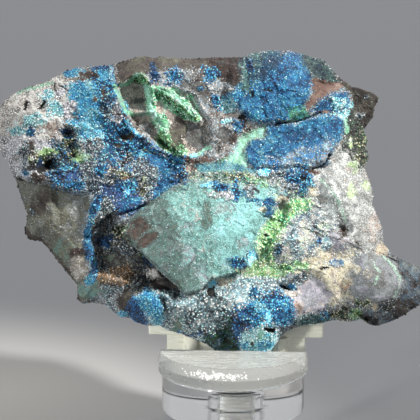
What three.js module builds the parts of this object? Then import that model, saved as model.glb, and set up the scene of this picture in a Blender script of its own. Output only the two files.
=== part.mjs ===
// A cornetite specimen: one broken piece of ore with blue, teal and green crusts, leaning back
// in a clear clamp stand. Millimetres, +Z up. The origin is the centre of the foot's underside,
// +X runs to the right of the stone's face and -Y faces the viewer.
import * as THREE from "three";

// Driving dimensions.
const JAW_DIAMETER = 25;
const JAW_THICKNESS = 2.9;
const JAW_SLOPE_HEIGHT = 1.3;
const JAW_SLOPE_FRONT = 2.2;
const JAW_SLOPE_SIDE = 0.3;
const JAW_TOP = 22.5;
const JAW_EDGE_Y = -5;
const SLOT_WIDTH = 8.2;
const BLOCK_WIDTH = 23.7;
const BLOCK_HEIGHT = 6.9;
const REAR_DEPTH = 4;
const REAR_RISE = 2.4;
const BAR_LENGTH = 30;
const BAR_HEIGHT = 2.2;
const BAR_PROUD = 0.3;
const RIB_RADIUS = 1.3;
const RIB_SPACING = 15.2;
const POST_RADIUS = 2.1;
const POST_CLEARANCE = 0.4;
const POST_ENGAGEMENT = 2.8;
const FOOT_RADIUS = 16;
const FOOT_HEIGHT = 2.6;
const FOOT_CHAMFER = 0.8;
const STONE_LEAN = THREE.MathUtils.degToRad(12);
const STONE_TURN = THREE.MathUtils.degToRad(4);
const ROUND_STEPS = 40;

// The stone's face is drawn in picture units, across to the right and down, on the plane that
// leans back with it. The jaw is 150 of them wide, which makes 6 to the millimetre. What stands
// out from the plane is drawn as it is seen from SIGHT_DISTANCE in front of PICTURE_SIGHT.
const PICTURE_JAW_WIDTH = 150;
const MM = JAW_DIAMETER / PICTURE_JAW_WIDTH;
const PICTURE_SLOT = { x: 233, y: 351 };
const PICTURE_CENTRE = { x: 205, y: 195 };
const PICTURE_SIGHT = { x: 210, y: 210 };
const SIGHT_DISTANCE = 280;

// The stone's outline, clockwise from its left end.
const OUTLINE = [
  [-2, 125], [-1, 112], [5, 101], [16, 93], [27, 88], [46, 82.5], [58, 76], [66, 71],
  [78, 67.5], [98, 66.5], [111, 65.5], [122, 62], [137, 57], [145, 56], [154, 58],
  [162, 56.5], [171, 58], [189, 59], [207, 58], [225, 57.5], [243, 57.5], [250, 54],
  [260, 52], [275, 51], [289, 51], [300, 53.5], [311, 57.5], [323, 60], [331, 68],
  [337, 76], [350, 86], [363, 89.5], [374, 93.5], [379, 98], [374, 108], [373, 116],
  [367, 125], [363, 131], [367, 139], [366, 147], [369, 156], [364, 169], [369, 180],
  [372.5, 191], [372, 205], [377, 216], [382, 227], [383, 243], [392, 255], [405, 262],
  [418, 266], [423, 275], [424, 286], [423, 298], [418, 306], [411, 310], [404, 315],
  [393, 320.5], [379, 325.5], [370, 325], [364, 317.5], [350, 321.5], [333, 319.5],
  [325, 322], [313, 324], [302, 325], [293, 328], [285, 332], [278, 340], [271, 350],
  [264, 359], [252, 362], [236, 361.5], [224, 358], [213, 348], [205, 343], [193, 338], [181, 333],
  [167, 329.5], [160, 325], [150, 325.5], [136, 322], [130, 317], [121, 317], [114, 312],
  [107, 305.5], [93, 302], [83, 304], [77.5, 299], [77.5, 285], [68, 273.5], [58, 261],
  [48, 248], [41, 241], [29, 239.5], [25, 231], [28, 214], [22, 200], [18, 186],
  [14, 174], [6, 160], [0, 149],
];

// Plates stand proud of the face and recesses lie behind it. rise is in millimetres, and edge
// is how wide the step between the two levels is.
const PLATES = [
  {
    name: "teal plate", rise: 3.2, edge: 0.9, overhang: 1.6, even: 0.75,
    outline: [
      [127, 227], [133, 217], [148, 203], [162, 194], [172, 186], [190, 180], [211, 181],
      [232, 184], [256, 190], [276, 197], [271, 216], [259, 234], [258, 250], [250, 262],
      [230, 270], [213, 277], [202, 285], [193, 290], [184, 280], [172, 270], [156, 255],
      [144, 243], [133, 235],
    ],
  },
  {
    name: "hollow under the teal plate", rise: -4.6, edge: 1.6,
    outline: [
      [88, 238], [112, 217], [127, 229], [144, 246], [157, 258], [172, 272], [184, 282],
      [192, 291], [176, 298], [158, 288], [140, 280], [118, 276], [98, 272],
    ],
  },
  {
    name: "left flank", rise: -1.6, edge: 1.2, even: 0.3,
    outline: [
      [10, 178], [45, 182], [64, 190], [86, 194], [93, 208], [86, 234], [90, 262], [97, 288],
      [84, 310], [50, 262], [16, 240],
    ],
  },
  {
    name: "deep side of the boxwork", rise: -3.2, edge: 0.9, even: 0.5,
    outline: [
      [113, 86], [121, 84], [130, 78], [139, 75], [150, 84], [154, 104], [164, 128], [168, 148],
      [157, 143], [148, 136], [136, 133], [131, 119], [125, 111], [120, 98],
    ],
  },
  {
    name: "shallow side of the boxwork", rise: -1.8, edge: 1.6, even: 0.6,
    outline: [
      [150, 84], [165, 88], [180, 91], [195, 100], [200, 112], [209, 121], [210, 140], [206, 150],
      [190, 155], [168, 151], [160, 126], [153, 104],
    ],
  },
  {
    name: "upper blue plate", rise: 1.4, edge: 1.2, even: 0.5,
    outline: [
      [232, 60], [262, 50], [312, 52], [318, 75], [309, 95], [304, 112], [288, 123], [262, 122],
      [240, 112], [226, 92],
    ],
  },
  {
    name: "lower blue plate", rise: 1.0, edge: 0.9, even: 0.6,
    outline: [
      [245, 151], [250, 142], [264, 140], [268, 129], [280, 125], [298, 124], [308, 119],
      [326, 118], [342, 117], [345, 125], [338, 140], [331, 156], [325, 166], [312, 169],
      [298, 166], [272, 167], [256, 167], [247, 160],
    ],
  },
  {
    name: "salmon facet", rise: -0.9, edge: 0.8, even: 0.6,
    outline: [
      [311, 80], [349, 84], [332, 96], [316, 104], [307, 112],
    ],
  },
  {
    name: "seam below the teal plate", rise: -1.7, edge: 0.8,
    outline: [
      [262, 212], [282, 200], [290, 208], [284, 224], [272, 240], [264, 258], [250, 266],
      [252, 250], [258, 232],
    ],
  },
  {
    name: "azure nodule", rise: 2.6, edge: 1.2,
    outline: [
      [129, 312], [134, 299], [145, 291], [156, 297], [162, 311], [159, 322], [146, 326],
      [133, 323],
    ],
  },
  {
    name: "mauve facet", rise: -1.0, edge: 1.0, even: 0.7,
    outline: [
      [288, 284], [306, 272], [322, 274], [333, 296], [318, 312], [296, 316],
    ],
  },
  {
    name: "right lobe", rise: 1.3, edge: 1.0, even: 0.6,
    outline: [
      [352, 268], [366, 254], [384, 252], [398, 266], [400, 288], [390, 302], [366, 306],
      [354, 292],
    ],
  },
  {
    name: "dark right tip", rise: -1.6, edge: 1.2, even: 0.4,
    outline: [
      [388, 252], [405, 258], [430, 264], [430, 320], [376, 330], [362, 314], [388, 302],
      [400, 286],
    ],
  },
  {
    name: "slate facet in the hollow", rise: 1.8, edge: 0.9, even: 0.7,
    outline: [
      [150, 281], [162, 279], [178, 279], [188, 286], [184, 295], [170, 299], [155, 297],
    ],
  },
  {
    name: "brown horn", rise: -1.8, edge: 1.4,
    outline: [
      [334, 66], [350, 84], [384, 88], [384, 108], [366, 134], [356, 122], [352, 98], [344, 88],
    ],
  },
];

// Lumps are round, with their radii in picture units and their rise in millimetres.
const LUMPS = [
  { name: "body of the stone", at: [212, 205], radii: [150, 100], rise: 3.2 },
  { name: "teal dome", at: [205, 235], radii: [58, 42], rise: 1.8 },
  { name: "belly", at: [190, 310], radii: [44, 24], rise: 2.4 },
  { name: "lower blue belly", at: [266, 312], radii: [32, 20], rise: 2.2 },
  { name: "tip", at: [257, 342], radii: [20, 16], rise: 1.6 },
  { name: "upper left shoulder", at: [36, 118], radii: [40, 22], rise: 2.6 },
  { name: "cyan swell", at: [94, 104], radii: [22, 22], rise: 1.5 },
  { name: "left lip", at: [22, 152], radii: [20, 14], rise: 1.4 },
  { name: "upper blue bulge", at: [285, 92], radii: [40, 32], rise: 1.6 },
  { name: "right knob", at: [372, 278], radii: [20, 25], rise: 2.2 },
  { name: "pale right flank", at: [350, 200], radii: [22, 40], rise: 1.6 },
  { name: "grey shoulder", at: [300, 240], radii: [30, 20], rise: 1.6 },
  { name: "left ledge", at: [120, 170], radii: [34, 12], rise: 1.2 },
  { name: "crest", at: [190, 66], radii: [40, 10], rise: 1.2 },
  { name: "left socket", at: [48, 165], radii: [8, 7], rise: -3.2 },
  { name: "pit by the vein", at: [344, 230], radii: [7, 8], rise: -1.8 },
  { name: "brown pit", at: [126, 137], radii: [9, 5], rise: -2.0 },
  { name: "blue pit", at: [68, 134], radii: [8, 7], rise: -2.2 },
  { name: "lower blue pit", at: [72, 146], radii: [6, 5], rise: -1.6 },
  { name: "boxwork cell", at: [136, 97], radii: [12, 12], rise: -1.2 },
  { name: "first slot", at: [26, 106], radii: [3.5, 4], rise: -1.6 },
  { name: "second slot", at: [42, 107], radii: [3, 5], rise: -1.8 },
  { name: "crest pit", at: [86, 77], radii: [11, 5], rise: -1.4 },
  { name: "shadowed notch", at: [226, 338], radii: [10, 14], rise: -2.4 },
  { name: "dark hole", at: [285, 287], radii: [6, 4], rise: -2.0 },
  { name: "lower dark hole", at: [270, 330], radii: [6, 4], rise: -2.0 },
  { name: "notch over the stand", at: [330, 322], radii: [18, 10], rise: -1.6 },
  { name: "crack end", at: [320, 166], radii: [7, 4], rise: -1.6 },
  { name: "left crack", at: [58, 200], radii: [5, 20], rise: -0.8 },
  { name: "pale lump in the hollow", at: [154, 273], radii: [8, 5], rise: 1.4 },
  { name: "tan lump in the hollow", at: [116, 278], radii: [20, 9], rise: 1.6 },
  { name: "round knob on the flank", at: [341, 241], radii: [11, 10], rise: 1.0 },
  { name: "blue knob under the plate", at: [306, 184], radii: [11, 12], rise: 1.0 },
  { name: "cyan knob at the lower edge", at: [121, 313], radii: [6, 5], rise: 1.2 },
];

// Ribs run along a path. A negative rise makes a crevice.
const RIBS = [
  {
    name: "long green rib", width: 7, rise: 2.8,
    path: [[140, 74], [152, 86], [151, 108], [163, 122], [168, 140], [186, 154]],
  },
  {
    name: "short green rib", width: 8, rise: 1.8,
    path: [[156, 88], [172, 96], [186, 108], [199, 121]],
  },
  {
    name: "rim of the boxwork", width: 4, rise: 1.8,
    path: [[115, 86], [123, 104], [131, 113], [149, 113]],
  },
  {
    name: "lip below the boxwork", width: 6, rise: 0.8,
    path: [[118, 104], [134, 128], [152, 143], [176, 158], [200, 158]],
  },
  {
    name: "crevice above the teal plate", width: 3, rise: -1.8,
    path: [[84, 238], [110, 216], [136, 210], [163, 194], [180, 183]],
  },
  {
    name: "crevice between the blue plates", width: 2.5, rise: -1.2,
    path: [[276, 124], [293, 123], [306, 119], [320, 114]],
  },
  {
    name: "crevice below the blue plate", width: 2.5, rise: -1.4,
    path: [[312, 169], [322, 166], [330, 154]],
  },
  {
    name: "crevice under the lip", width: 2.5, rise: -0.8,
    path: [[140, 148], [158, 155], [184, 164]],
  },
];

const FACE_CELLS = 56;
const FACE_LEVEL = 1.6;
const FACE_SLOPE_UP = -0.035;
const FACE_SLOPE_FROM = 25;
const LUMP_SKIRT = 1.6;
const TRIANGLE_HEIGHT = Math.sqrt(3) / 2;
const FACE_FACETS = [{ size: 8, rise: 1.1, seed: 3 }, { size: 3.6, rise: 0.7, seed: 8 }];
const RIM_DEPTH = -3.4;
const RIM_WANDER = 2.2;
const RIM_FACET = 10;
const RIM_SEED = 17;
const EDGE_WIDTH = 5;
const EDGE_ROUNDNESS = 2.3;
const RIM_CALM = 12;
const SNAP_REACH = 3.6;
const UNFOLD_PASSES = 4;
const LEAST_AREA = 0.12;
const OVERHANG_FADE = 4;
const OVERHANG_TOWARDS = [-0.6, 0.8];
const BACK_EDGE_WIDTH = 6;

// Flat breaks across the back: each is a plane with its depth at the middle of the back and its
// slopes to the right and upwards. The shallowest one counts.
const BACK_BREAKS = [
  { depth: 9.4, across: 0.14, rise: 0.02 },
  { depth: 9.9, across: -0.24, rise: 0.12 },
  { depth: 11.6, across: 0.06, rise: -0.3 },
  { depth: 10.4, across: 0.36, rise: -0.1 },
  { depth: 8.6, across: -0.06, rise: 0.2 },
];
const BACK_MIDDLE = 24;
const BACK_FACETS = [{ size: 12, rise: 1.5, seed: 5 }, { size: 5, rise: 0.6, seed: 11 }];

// Where the stone stands in the slot it has to clear the jaws.
const SLOT_FACE_OUT = -0.6;
const SLOT_FACE_TOP = 0.5;
const SLOT_FACE_GROWTH = 1.5;
const SLOT_BACK_OUT = 5.9;
const SLOT_BACK_TOP = 4.8;
const SLOT_BACK_GROWTH = 1.2;
const SLOT_EDGE_WIDTH = 1.5;
const SLOT_EDGE_CALM = 11;

const CHANCE_STEPS = [127.1, 311.7, 74.7];
const CHANCE_SCALE = 43758.5453;
const EIGHTH_TURN = Math.PI / 4;
const SMALL = 1e-6;

const clamp = THREE.MathUtils.clamp;
const smooth = (t) => THREE.MathUtils.smoothstep(t, 0, 1);

// The point of a path that is nearest to a picture point.
function nearestOnPath(px, py, path) {
  let nearest = Infinity;
  let found = path[0];
  for (let i = 0; i + 1 < path.length; i++) {
    const [ax, ay] = path[i];
    const [ex, ey] = [path[i + 1][0] - ax, path[i + 1][1] - ay];
    const t = clamp(((px - ax) * ex + (py - ay) * ey) / (ex * ex + ey * ey), 0, 1);
    const q = [ax + t * ex, ay + t * ey];
    const d = Math.hypot(px - q[0], py - q[1]);
    if (d < nearest) [nearest, found] = [d, q];
  }
  return found;
}

function distanceToPath(px, py, path) {
  const q = nearestOnPath(px, py, path);
  return Math.hypot(px - q[0], py - q[1]);
}

// Distance to a closed outline, positive inside it.
function distanceInside(px, py, outline) {
  let inside = false;
  outline.forEach(([bx, by], i) => {
    const [ax, ay] = outline[(i + outline.length - 1) % outline.length];
    if (ay > py !== by > py && px < ((bx - ax) * (py - ay)) / (by - ay) + ax) inside = !inside;
  });
  const edge = distanceToPath(px, py, [...outline, outline[0]]);
  return inside ? edge : -edge;
}

// How far the outline is from the stone's centre in a direction, in picture units.
function reach(angle) {
  const [dx, dy] = [Math.cos(angle), Math.sin(angle)];
  const { x: cx, y: cy } = PICTURE_CENTRE;
  let furthest = 0;
  OUTLINE.forEach(([bx, by], i) => {
    const [ax, ay] = OUTLINE[(i + OUTLINE.length - 1) % OUTLINE.length];
    const [ex, ey] = [bx - ax, by - ay];
    const cross = dx * ey - dy * ex;
    if (Math.abs(cross) < SMALL) return;
    const along = ((ax - cx) * ey - (ay - cy) * ex) / cross;
    const part = ((ax - cx) * dy - (ay - cy) * dx) / cross;
    if (part >= 0 && part <= 1) furthest = Math.max(furthest, along);
  });
  return furthest;
}

// A number from 0 to 1 that looks random but is always the same for the same corner.
function chance(i, j, seed) {
  const [across, down, apart] = CHANCE_STEPS;
  const value = Math.sin(i * across + j * down + seed * apart) * CHANCE_SCALE;
  return value - Math.floor(value);
}

// Broken ground: flat triangular facets, size millimetres across, between -1 and 1 in height.
function facets(x, y, size, seed) {
  const b = y / (size * TRIANGLE_HEIGHT);
  const a = x / size - b / 2;
  const [i, j] = [Math.floor(a), Math.floor(b)];
  const [fa, fb] = [a - i, b - j];
  const height = (di, dj) => 2 * chance(i + di, j + dj, seed) - 1;
  if (fa + fb < 1) return height(0, 0) * (1 - fa - fb) + height(1, 0) * fa + height(0, 1) * fb;
  return height(1, 1) * (fa + fb - 1) + height(1, 0) * (1 - fb) + height(0, 1) * (1 - fa);
}

// The sum of several layers of facets.
function broken(x, y, layers) {
  return layers.reduce((sum, { size, rise, seed }) => sum + rise * facets(x, y, size, seed), 0);
}

// How far the face stands out towards the viewer at a picture point, in millimetres.
function faceOut(px, py) {
  const [x, up] = [(px - PICTURE_SLOT.x) * MM, (PICTURE_SLOT.y - py) * MM];
  let out = FACE_LEVEL + FACE_SLOPE_UP * (up - FACE_SLOPE_FROM);
  for (const { at, radii, rise } of LUMPS) {
    const q = Math.hypot((px - at[0]) / radii[0], (py - at[1]) / radii[1]);
    out += rise * smooth(1 - q / LUMP_SKIRT);
  }
  let smoothness = 0;
  for (const { outline, rise, edge, even } of PLATES) {
    const weight = smooth((distanceInside(px, py, outline) * MM) / edge + 0.5);
    out += rise * weight;
    smoothness = Math.max(smoothness, (even ?? 0) * weight);
  }
  for (const { path, width, rise } of RIBS) {
    out += rise * smooth(1 - distanceToPath(px, py, path) / width);
  }
  return out + (1 - smoothness) * broken(x, up, FACE_FACETS);
}

// How deep the back lies behind the rim, in millimetres.
function backDepth(x, up) {
  let depth = Infinity;
  for (const plane of BACK_BREAKS) {
    depth = Math.min(depth, plane.depth + plane.across * x + plane.rise * (up - BACK_MIDDLE));
  }
  return depth + broken(x, up, BACK_FACETS);
}

// Where a place on the square, whose border is the outline, falls in the picture.
function pictureOf(u, v) {
  const ring = Math.max(Math.abs(u), Math.abs(v));
  const sideways = Math.abs(u) >= Math.abs(v);
  let angle = 0;
  if (ring > 0) {
    angle = sideways ? EIGHTH_TURN * (v / u) : 2 * EIGHTH_TURN - EIGHTH_TURN * (u / v);
    if ((sideways ? u : v) < 0) angle += Math.PI;
  }
  const far = reach(angle);
  const px = PICTURE_CENTRE.x + ring * far * Math.cos(angle);
  const py = PICTURE_CENTRE.y + ring * far * Math.sin(angle);
  return { px, py, far, ring };
}

// Moves a picture point onto the nearest plate edge or rib crest, if one is close enough.
function drawnToEdge(place) {
  let nearest = SNAP_REACH;
  let moved = place;
  for (const { outline, edge } of PLATES) {
    const q = nearestOnPath(place.px, place.py, [...outline, outline[0]]);
    const d = Math.hypot(place.px - q[0], place.py - q[1]);
    if (d >= nearest || d < SMALL) continue;
    nearest = d;
    const scale = edge / 2 / MM / d;
    const [dx, dy] = [place.px - q[0], place.py - q[1]];
    moved = { ...place, px: q[0] + dx * scale, py: q[1] + dy * scale };
  }
  for (const { path } of RIBS) {
    const q = nearestOnPath(place.px, place.py, path);
    const d = Math.hypot(place.px - q[0], place.py - q[1]);
    if (d >= nearest) continue;
    nearest = d;
    moved = { ...place, px: q[0], py: q[1] };
  }
  return moved;
}

// The overhang of a plate: how far its edge is carried outwards, down and to the left.
function carriedOut(px, py) {
  for (const { outline, overhang } of PLATES) {
    const inside = distanceInside(px, py, outline) * MM;
    if (!overhang || inside <= 0 || inside > OVERHANG_FADE) continue;
    const q = nearestOnPath(px, py, [...outline, outline[0]]);
    const d = Math.hypot(px - q[0], py - q[1]);
    const [nx, ny] = [(q[0] - px) / d, (q[1] - py) / d];
    const facing = Math.max(0, nx * OVERHANG_TOWARDS[0] + ny * OVERHANG_TOWARDS[1]);
    const amount = (overhang / MM) * facing * (1 - smooth(inside / OVERHANG_FADE));
    return [nx * amount, ny * amount];
  }
  return [0, 0];
}

// A picture point brought back to its true place at a depth, in the stone's own leaning frame.
function placed(px, py, out) {
  const nearer = 1 - out / SIGHT_DISTANCE;
  const across = PICTURE_SIGHT.x - PICTURE_SLOT.x + (px - PICTURE_SIGHT.x) * nearer;
  const down = PICTURE_SIGHT.y - PICTURE_SLOT.y + (py - PICTURE_SIGHT.y) * nearer;
  return [across * MM, -out, -down * MM];
}

// One vertex of the stone, in its own leaning frame. The face and the back both round over to
// the rim, and within the slot neither passes the plane of the jaw on its side.
function stoneVertex({ px, py, far, ring }, onFace) {
  const [x, up] = [(px - PICTURE_SLOT.x) * MM, (PICTURE_SLOT.y - py) * MM];
  const inside = Math.min((1 - ring) * far, Math.max(distanceInside(px, py, OUTLINE), 0));
  const fromEdge = ring === 1 ? 0 : inside * MM;
  const rim = RIM_DEPTH + RIM_WANDER * facets(x, up, RIM_FACET, RIM_SEED) * smooth(up / RIM_CALM);
  const calm = smooth(up / SLOT_EDGE_CALM);
  const width = SLOT_EDGE_WIDTH + ((onFace ? EDGE_WIDTH : BACK_EDGE_WIDTH) - SLOT_EDGE_WIDTH) * calm;
  const within = 1 - (1 - clamp(fromEdge / width, 0, 1)) ** EDGE_ROUNDNESS;
  if (!onFace) {
    const furthest = -SLOT_BACK_OUT - Math.max(0, up - SLOT_BACK_TOP) * SLOT_BACK_GROWTH;
    return placed(px, py, Math.max(rim - backDepth(x, up) * within, furthest));
  }
  const furthest = SLOT_FACE_OUT + Math.max(0, up - SLOT_FACE_TOP) * SLOT_FACE_GROWTH;
  const [dx, dy] = carriedOut(px, py);
  return placed(px + dx, py + dy, Math.min(rim + (faceOut(px, py) - rim) * within, furthest));
}

// The place in the picture of a corner of the grid, which has n cells each way.
function cornerPlace(i, j, n) {
  return pictureOf((2 * i) / n - 1, (2 * j) / n - 1);
}

// The places of the face's grid in the picture, with those that would fold it put back.
function facePlaces(n) {
  const plain = [];
  for (let j = 0; j <= n; j++) for (let i = 0; i <= n; i++) plain.push(cornerPlace(i, j, n));
  const places = plain.map((place) => (place.ring === 1 ? place : drawnToEdge(place)));
  const turn = (a, b, c) => (b.px - a.px) * (c.py - a.py) - (b.py - a.py) * (c.px - a.px);
  for (let pass = 0; pass < UNFOLD_PASSES; pass++)
    for (let j = 0; j < n; j++)
      for (let i = 0; i < n; i++) {
        const at = j * (n + 1) + i;
        for (const corners of [[at, at + 1, at + n + 2], [at, at + n + 2, at + n + 1]]) {
          const least = LEAST_AREA * Math.abs(turn(...corners.map((k) => plain[k])));
          if (turn(...corners.map((k) => places[k])) < least) corners.forEach((k) => (places[k] = plain[k]));
        }
      }
  return places;
}

// The stone: a square grid for the face and one with half as many cells for the back, both
// stretched to the outline, so that they share their border.
function stoneGeometry() {
  const n = FACE_CELLS;
  const places = facePlaces(n);
  const points = [];
  const numbers = new Map();
  const vertex = (i, j, onFace) => {
    const border = i === 0 || j === 0 || i === n || j === n;
    const key = `${i},${j},${onFace || border}`;
    if (!numbers.has(key)) {
      numbers.set(key, points.length / 3);
      const shared = onFace || border;
      points.push(...stoneVertex(shared ? places[j * (n + 1) + i] : cornerPlace(i, j, n), shared));
    }
    return numbers.get(key);
  };
  const faces = [];
  for (let i = 0; i < n; i++)
    for (let j = 0; j < n; j++) {
      const [a, b] = [vertex(i, j, true), vertex(i + 1, j, true)];
      const [c, d] = [vertex(i + 1, j + 1, true), vertex(i, j + 1, true)];
      faces.push(a, c, b, a, d, c);
    }
  // A back cell takes in the border's extra points, so its corners fan out from its middle.
  for (let i = 0; i < n; i += 2)
    for (let j = 0; j < n; j += 2) {
      const ring = [vertex(i, j, false)];
      if (j === 0) ring.push(vertex(i + 1, j, false));
      ring.push(vertex(i + 2, j, false));
      if (i + 2 === n) ring.push(vertex(n, j + 1, false));
      ring.push(vertex(i + 2, j + 2, false));
      if (j + 2 === n) ring.push(vertex(i + 1, n, false));
      ring.push(vertex(i, j + 2, false));
      if (i === 0) ring.push(vertex(0, j + 1, false));
      if (ring.length === 4) faces.push(ring[0], ring[1], ring[2], ring[0], ring[2], ring[3]);
      else {
        const middle = points.length / 3;
        points.push(...stoneVertex(cornerPlace(i + 1, j + 1, n), false));
        ring.forEach((p, k) => faces.push(middle, p, ring[(k + 1) % ring.length]));
      }
    }
  return new THREE.BufferGeometry()
    .setAttribute("position", new THREE.Float32BufferAttribute(points, 3))
    .setIndex(faces);
}

function piece(name, geometry, material) {
  const mesh = new THREE.Mesh(geometry, material);
  mesh.name = name;
  return mesh;
}

// A flat shape in plan, raised from the height bottom.
function raised(shape, height, bottom) {
  const settings = { depth: height, bevelEnabled: false, curveSegments: ROUND_STEPS / 2 };
  return new THREE.ExtrudeGeometry(shape, settings).translate(0, 0, bottom);
}

// A closed solid through rows of points: each row is one loop, and the first and last are closed.
function lofted(rows) {
  const count = rows[0].length;
  const faces = [];
  for (let row = 0; row + 1 < rows.length; row++)
    for (let k = 0; k < count; k++) {
      const [a, b] = [row * count + k, row * count + ((k + 1) % count)];
      faces.push(a, b, b + count, a, b + count, a + count);
    }
  const last = (rows.length - 1) * count;
  for (let k = 1; k + 1 < count; k++) faces.push(0, k + 1, k, last, last + k, last + k + 1);
  return new THREE.BufferGeometry()
    .setAttribute("position", new THREE.Float32BufferAttribute(rows.flat(2), 3))
    .setIndex(faces);
}

// The front jaw: half a disc with its straight side across the slot. Its top slopes down to the
// wall, widely in front and hardly at the sides.
function frontJaw(material) {
  const radius = JAW_DIAMETER / 2;
  const bottom = JAW_TOP - JAW_THICKNESS;
  const half = (across, deep, z) => Array.from({ length: ROUND_STEPS / 2 + 1 }, (_, k) => {
    const angle = Math.PI + (2 * Math.PI * k) / ROUND_STEPS;
    return [across * Math.cos(angle), JAW_EDGE_Y + deep * Math.sin(angle), z];
  });
  const rows = [
    half(radius, radius, bottom),
    half(radius, radius, JAW_TOP - JAW_SLOPE_HEIGHT),
    half(radius - JAW_SLOPE_SIDE, radius - JAW_SLOPE_FRONT, JAW_TOP),
  ];
  return piece("front_jaw", lofted(rows), material);
}

// How far the block's side is from the post's axis in a direction seen from above: round in
// front of the slot, square behind it.
function blockReach(angle) {
  const half = BLOCK_WIDTH / 2;
  const rear = JAW_EDGE_Y + SLOT_WIDTH + REAR_DEPTH;
  const [dx, dy] = [Math.cos(angle), Math.sin(angle)];
  const square = Math.min(half / Math.abs(dx), dy > 0 ? rear / dy : Infinity);
  if (dy * square >= JAW_EDGE_Y) return square;
  const ahead = JAW_EDGE_Y * dy;
  return ahead + Math.sqrt(ahead * ahead - JAW_EDGE_Y * JAW_EDGE_Y + half * half);
}

// The clear block, with a blind hole from below for the end of the post.
function clearBlock(material) {
  const half = BLOCK_WIDTH / 2;
  const [top, bottom] = [JAW_TOP - JAW_THICKNESS, JAW_TOP - JAW_THICKNESS - BLOCK_HEIGHT];
  const corner = Math.atan2(JAW_EDGE_Y + SLOT_WIDTH + REAR_DEPTH, half);
  const side = Math.atan2(JAW_EDGE_Y, half);
  const stops = [side, corner, Math.PI - corner, Math.PI - side, 2 * Math.PI + side];
  const steps = [ROUND_STEPS / 8, ROUND_STEPS / 4, ROUND_STEPS / 8, ROUND_STEPS / 2];
  const angles = steps.flatMap((count, part) =>
    Array.from({ length: count }, (_, k) => stops[part] + ((stops[part + 1] - stops[part]) * k) / count),
  );
  const loop = (reachOf, z) => angles.map((a) => [reachOf(a) * Math.cos(a), reachOf(a) * Math.sin(a), z]);
  const bore = () => POST_RADIUS + POST_CLEARANCE;
  const rows = [
    loop(bore, bottom + POST_ENGAGEMENT),
    loop(bore, bottom),
    loop(blockReach, bottom),
    loop(blockReach, top),
  ];
  return piece("clear_block", lofted(rows), material);
}

// The rear jaw in section, seen from above: a straight wall with two upright ribs on its front.
function rearJaw(material) {
  const half = BLOCK_WIDTH / 2;
  const front = JAW_EDGE_Y + SLOT_WIDTH;
  const plan = new THREE.Shape().moveTo(-half, front);
  for (const side of [-1, 1]) {
    plan.absarc((side * RIB_SPACING) / 2, front, RIB_RADIUS, Math.PI, 2 * Math.PI, false);
  }
  plan.lineTo(half, front).lineTo(half, front + REAR_DEPTH).lineTo(-half, front + REAR_DEPTH);
  const height = JAW_THICKNESS + REAR_RISE - BAR_HEIGHT;
  return piece("rear_jaw", raised(plan, height, JAW_TOP - JAW_THICKNESS), material);
}

function crossbar(material) {
  const depth = REAR_DEPTH + BAR_PROUD;
  const bar = new THREE.BoxGeometry(BAR_LENGTH, depth, BAR_HEIGHT).translate(
    0,
    JAW_EDGE_Y + SLOT_WIDTH - BAR_PROUD + depth / 2,
    JAW_TOP + REAR_RISE - BAR_HEIGHT / 2,
  );
  return piece("crossbar", bar, material);
}

// A round piece from its profile of radius and height, turned about the upright axis.
function turned(profile) {
  const points = profile.map(([radius, height]) => new THREE.Vector2(radius, height));
  return new THREE.LatheGeometry(points, ROUND_STEPS).rotateX(Math.PI / 2);
}

function post(material) {
  const top = JAW_TOP - JAW_THICKNESS - BLOCK_HEIGHT + POST_ENGAGEMENT;
  const profile = [[0, FOOT_HEIGHT], [POST_RADIUS, FOOT_HEIGHT], [POST_RADIUS, top], [0, top]];
  return piece("post", turned(profile), material);
}

function foot(material) {
  const inner = FOOT_RADIUS - FOOT_CHAMFER;
  const shoulder = FOOT_HEIGHT - FOOT_CHAMFER;
  const side = [[0, 0], [FOOT_RADIUS, 0], [FOOT_RADIUS, shoulder]];
  const profile = [...side, [inner, FOOT_HEIGHT], [0, FOOT_HEIGHT]];
  return piece("foot", turned(profile), material);
}

function specimen(material) {
  const leaning = new THREE.Group();
  leaning.position.set(0, JAW_EDGE_Y, JAW_TOP);
  leaning.rotation.set(-STONE_LEAN, 0, STONE_TURN, "ZXY");
  leaning.add(piece("cornetite_specimen", stoneGeometry(), material));
  return leaning;
}

function surface(color, roughness, more = {}) {
  return new THREE.MeshStandardMaterial({ color, roughness, metalness: 0, ...more });
}

const ore = surface(0x5f7f86, 0.85, { flatShading: true });
const clear = surface(0xdfe3e0, 0.08, { transparent: true, opacity: 0.35 });
const milky = surface(0xd8d5c4, 0.45);

const object = new THREE.Group();
object.add(foot(clear), post(clear), clearBlock(clear), frontJaw(clear));
object.add(rearJaw(milky), crossbar(milky), specimen(ore));
export default object;
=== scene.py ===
"""A cornetite specimen in its clear clamp stand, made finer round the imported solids."""

import math

import bpy
import numpy as np
from mathutils import Euler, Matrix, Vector


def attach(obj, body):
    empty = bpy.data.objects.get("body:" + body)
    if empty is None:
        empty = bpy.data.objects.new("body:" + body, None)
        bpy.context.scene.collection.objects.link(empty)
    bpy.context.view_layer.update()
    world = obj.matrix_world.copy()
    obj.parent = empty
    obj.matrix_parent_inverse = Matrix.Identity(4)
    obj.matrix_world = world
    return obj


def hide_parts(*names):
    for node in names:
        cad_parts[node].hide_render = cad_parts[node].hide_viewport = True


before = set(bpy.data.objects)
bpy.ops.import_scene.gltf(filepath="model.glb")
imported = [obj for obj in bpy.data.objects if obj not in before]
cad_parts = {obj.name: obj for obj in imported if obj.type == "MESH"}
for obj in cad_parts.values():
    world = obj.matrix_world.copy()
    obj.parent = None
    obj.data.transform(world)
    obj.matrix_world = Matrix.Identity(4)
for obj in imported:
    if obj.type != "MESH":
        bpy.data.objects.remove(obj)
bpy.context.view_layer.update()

bl_info = {
    "name": "Cornetite specimen",
    "version": (1, 0, 0),
    "blender": (4, 5, 0),
    "location": "3D View > Sidebar > Specimen",
    "description": "Builds a crusted ore specimen in a clear clamp stand",
    "category": "Object",
}

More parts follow.
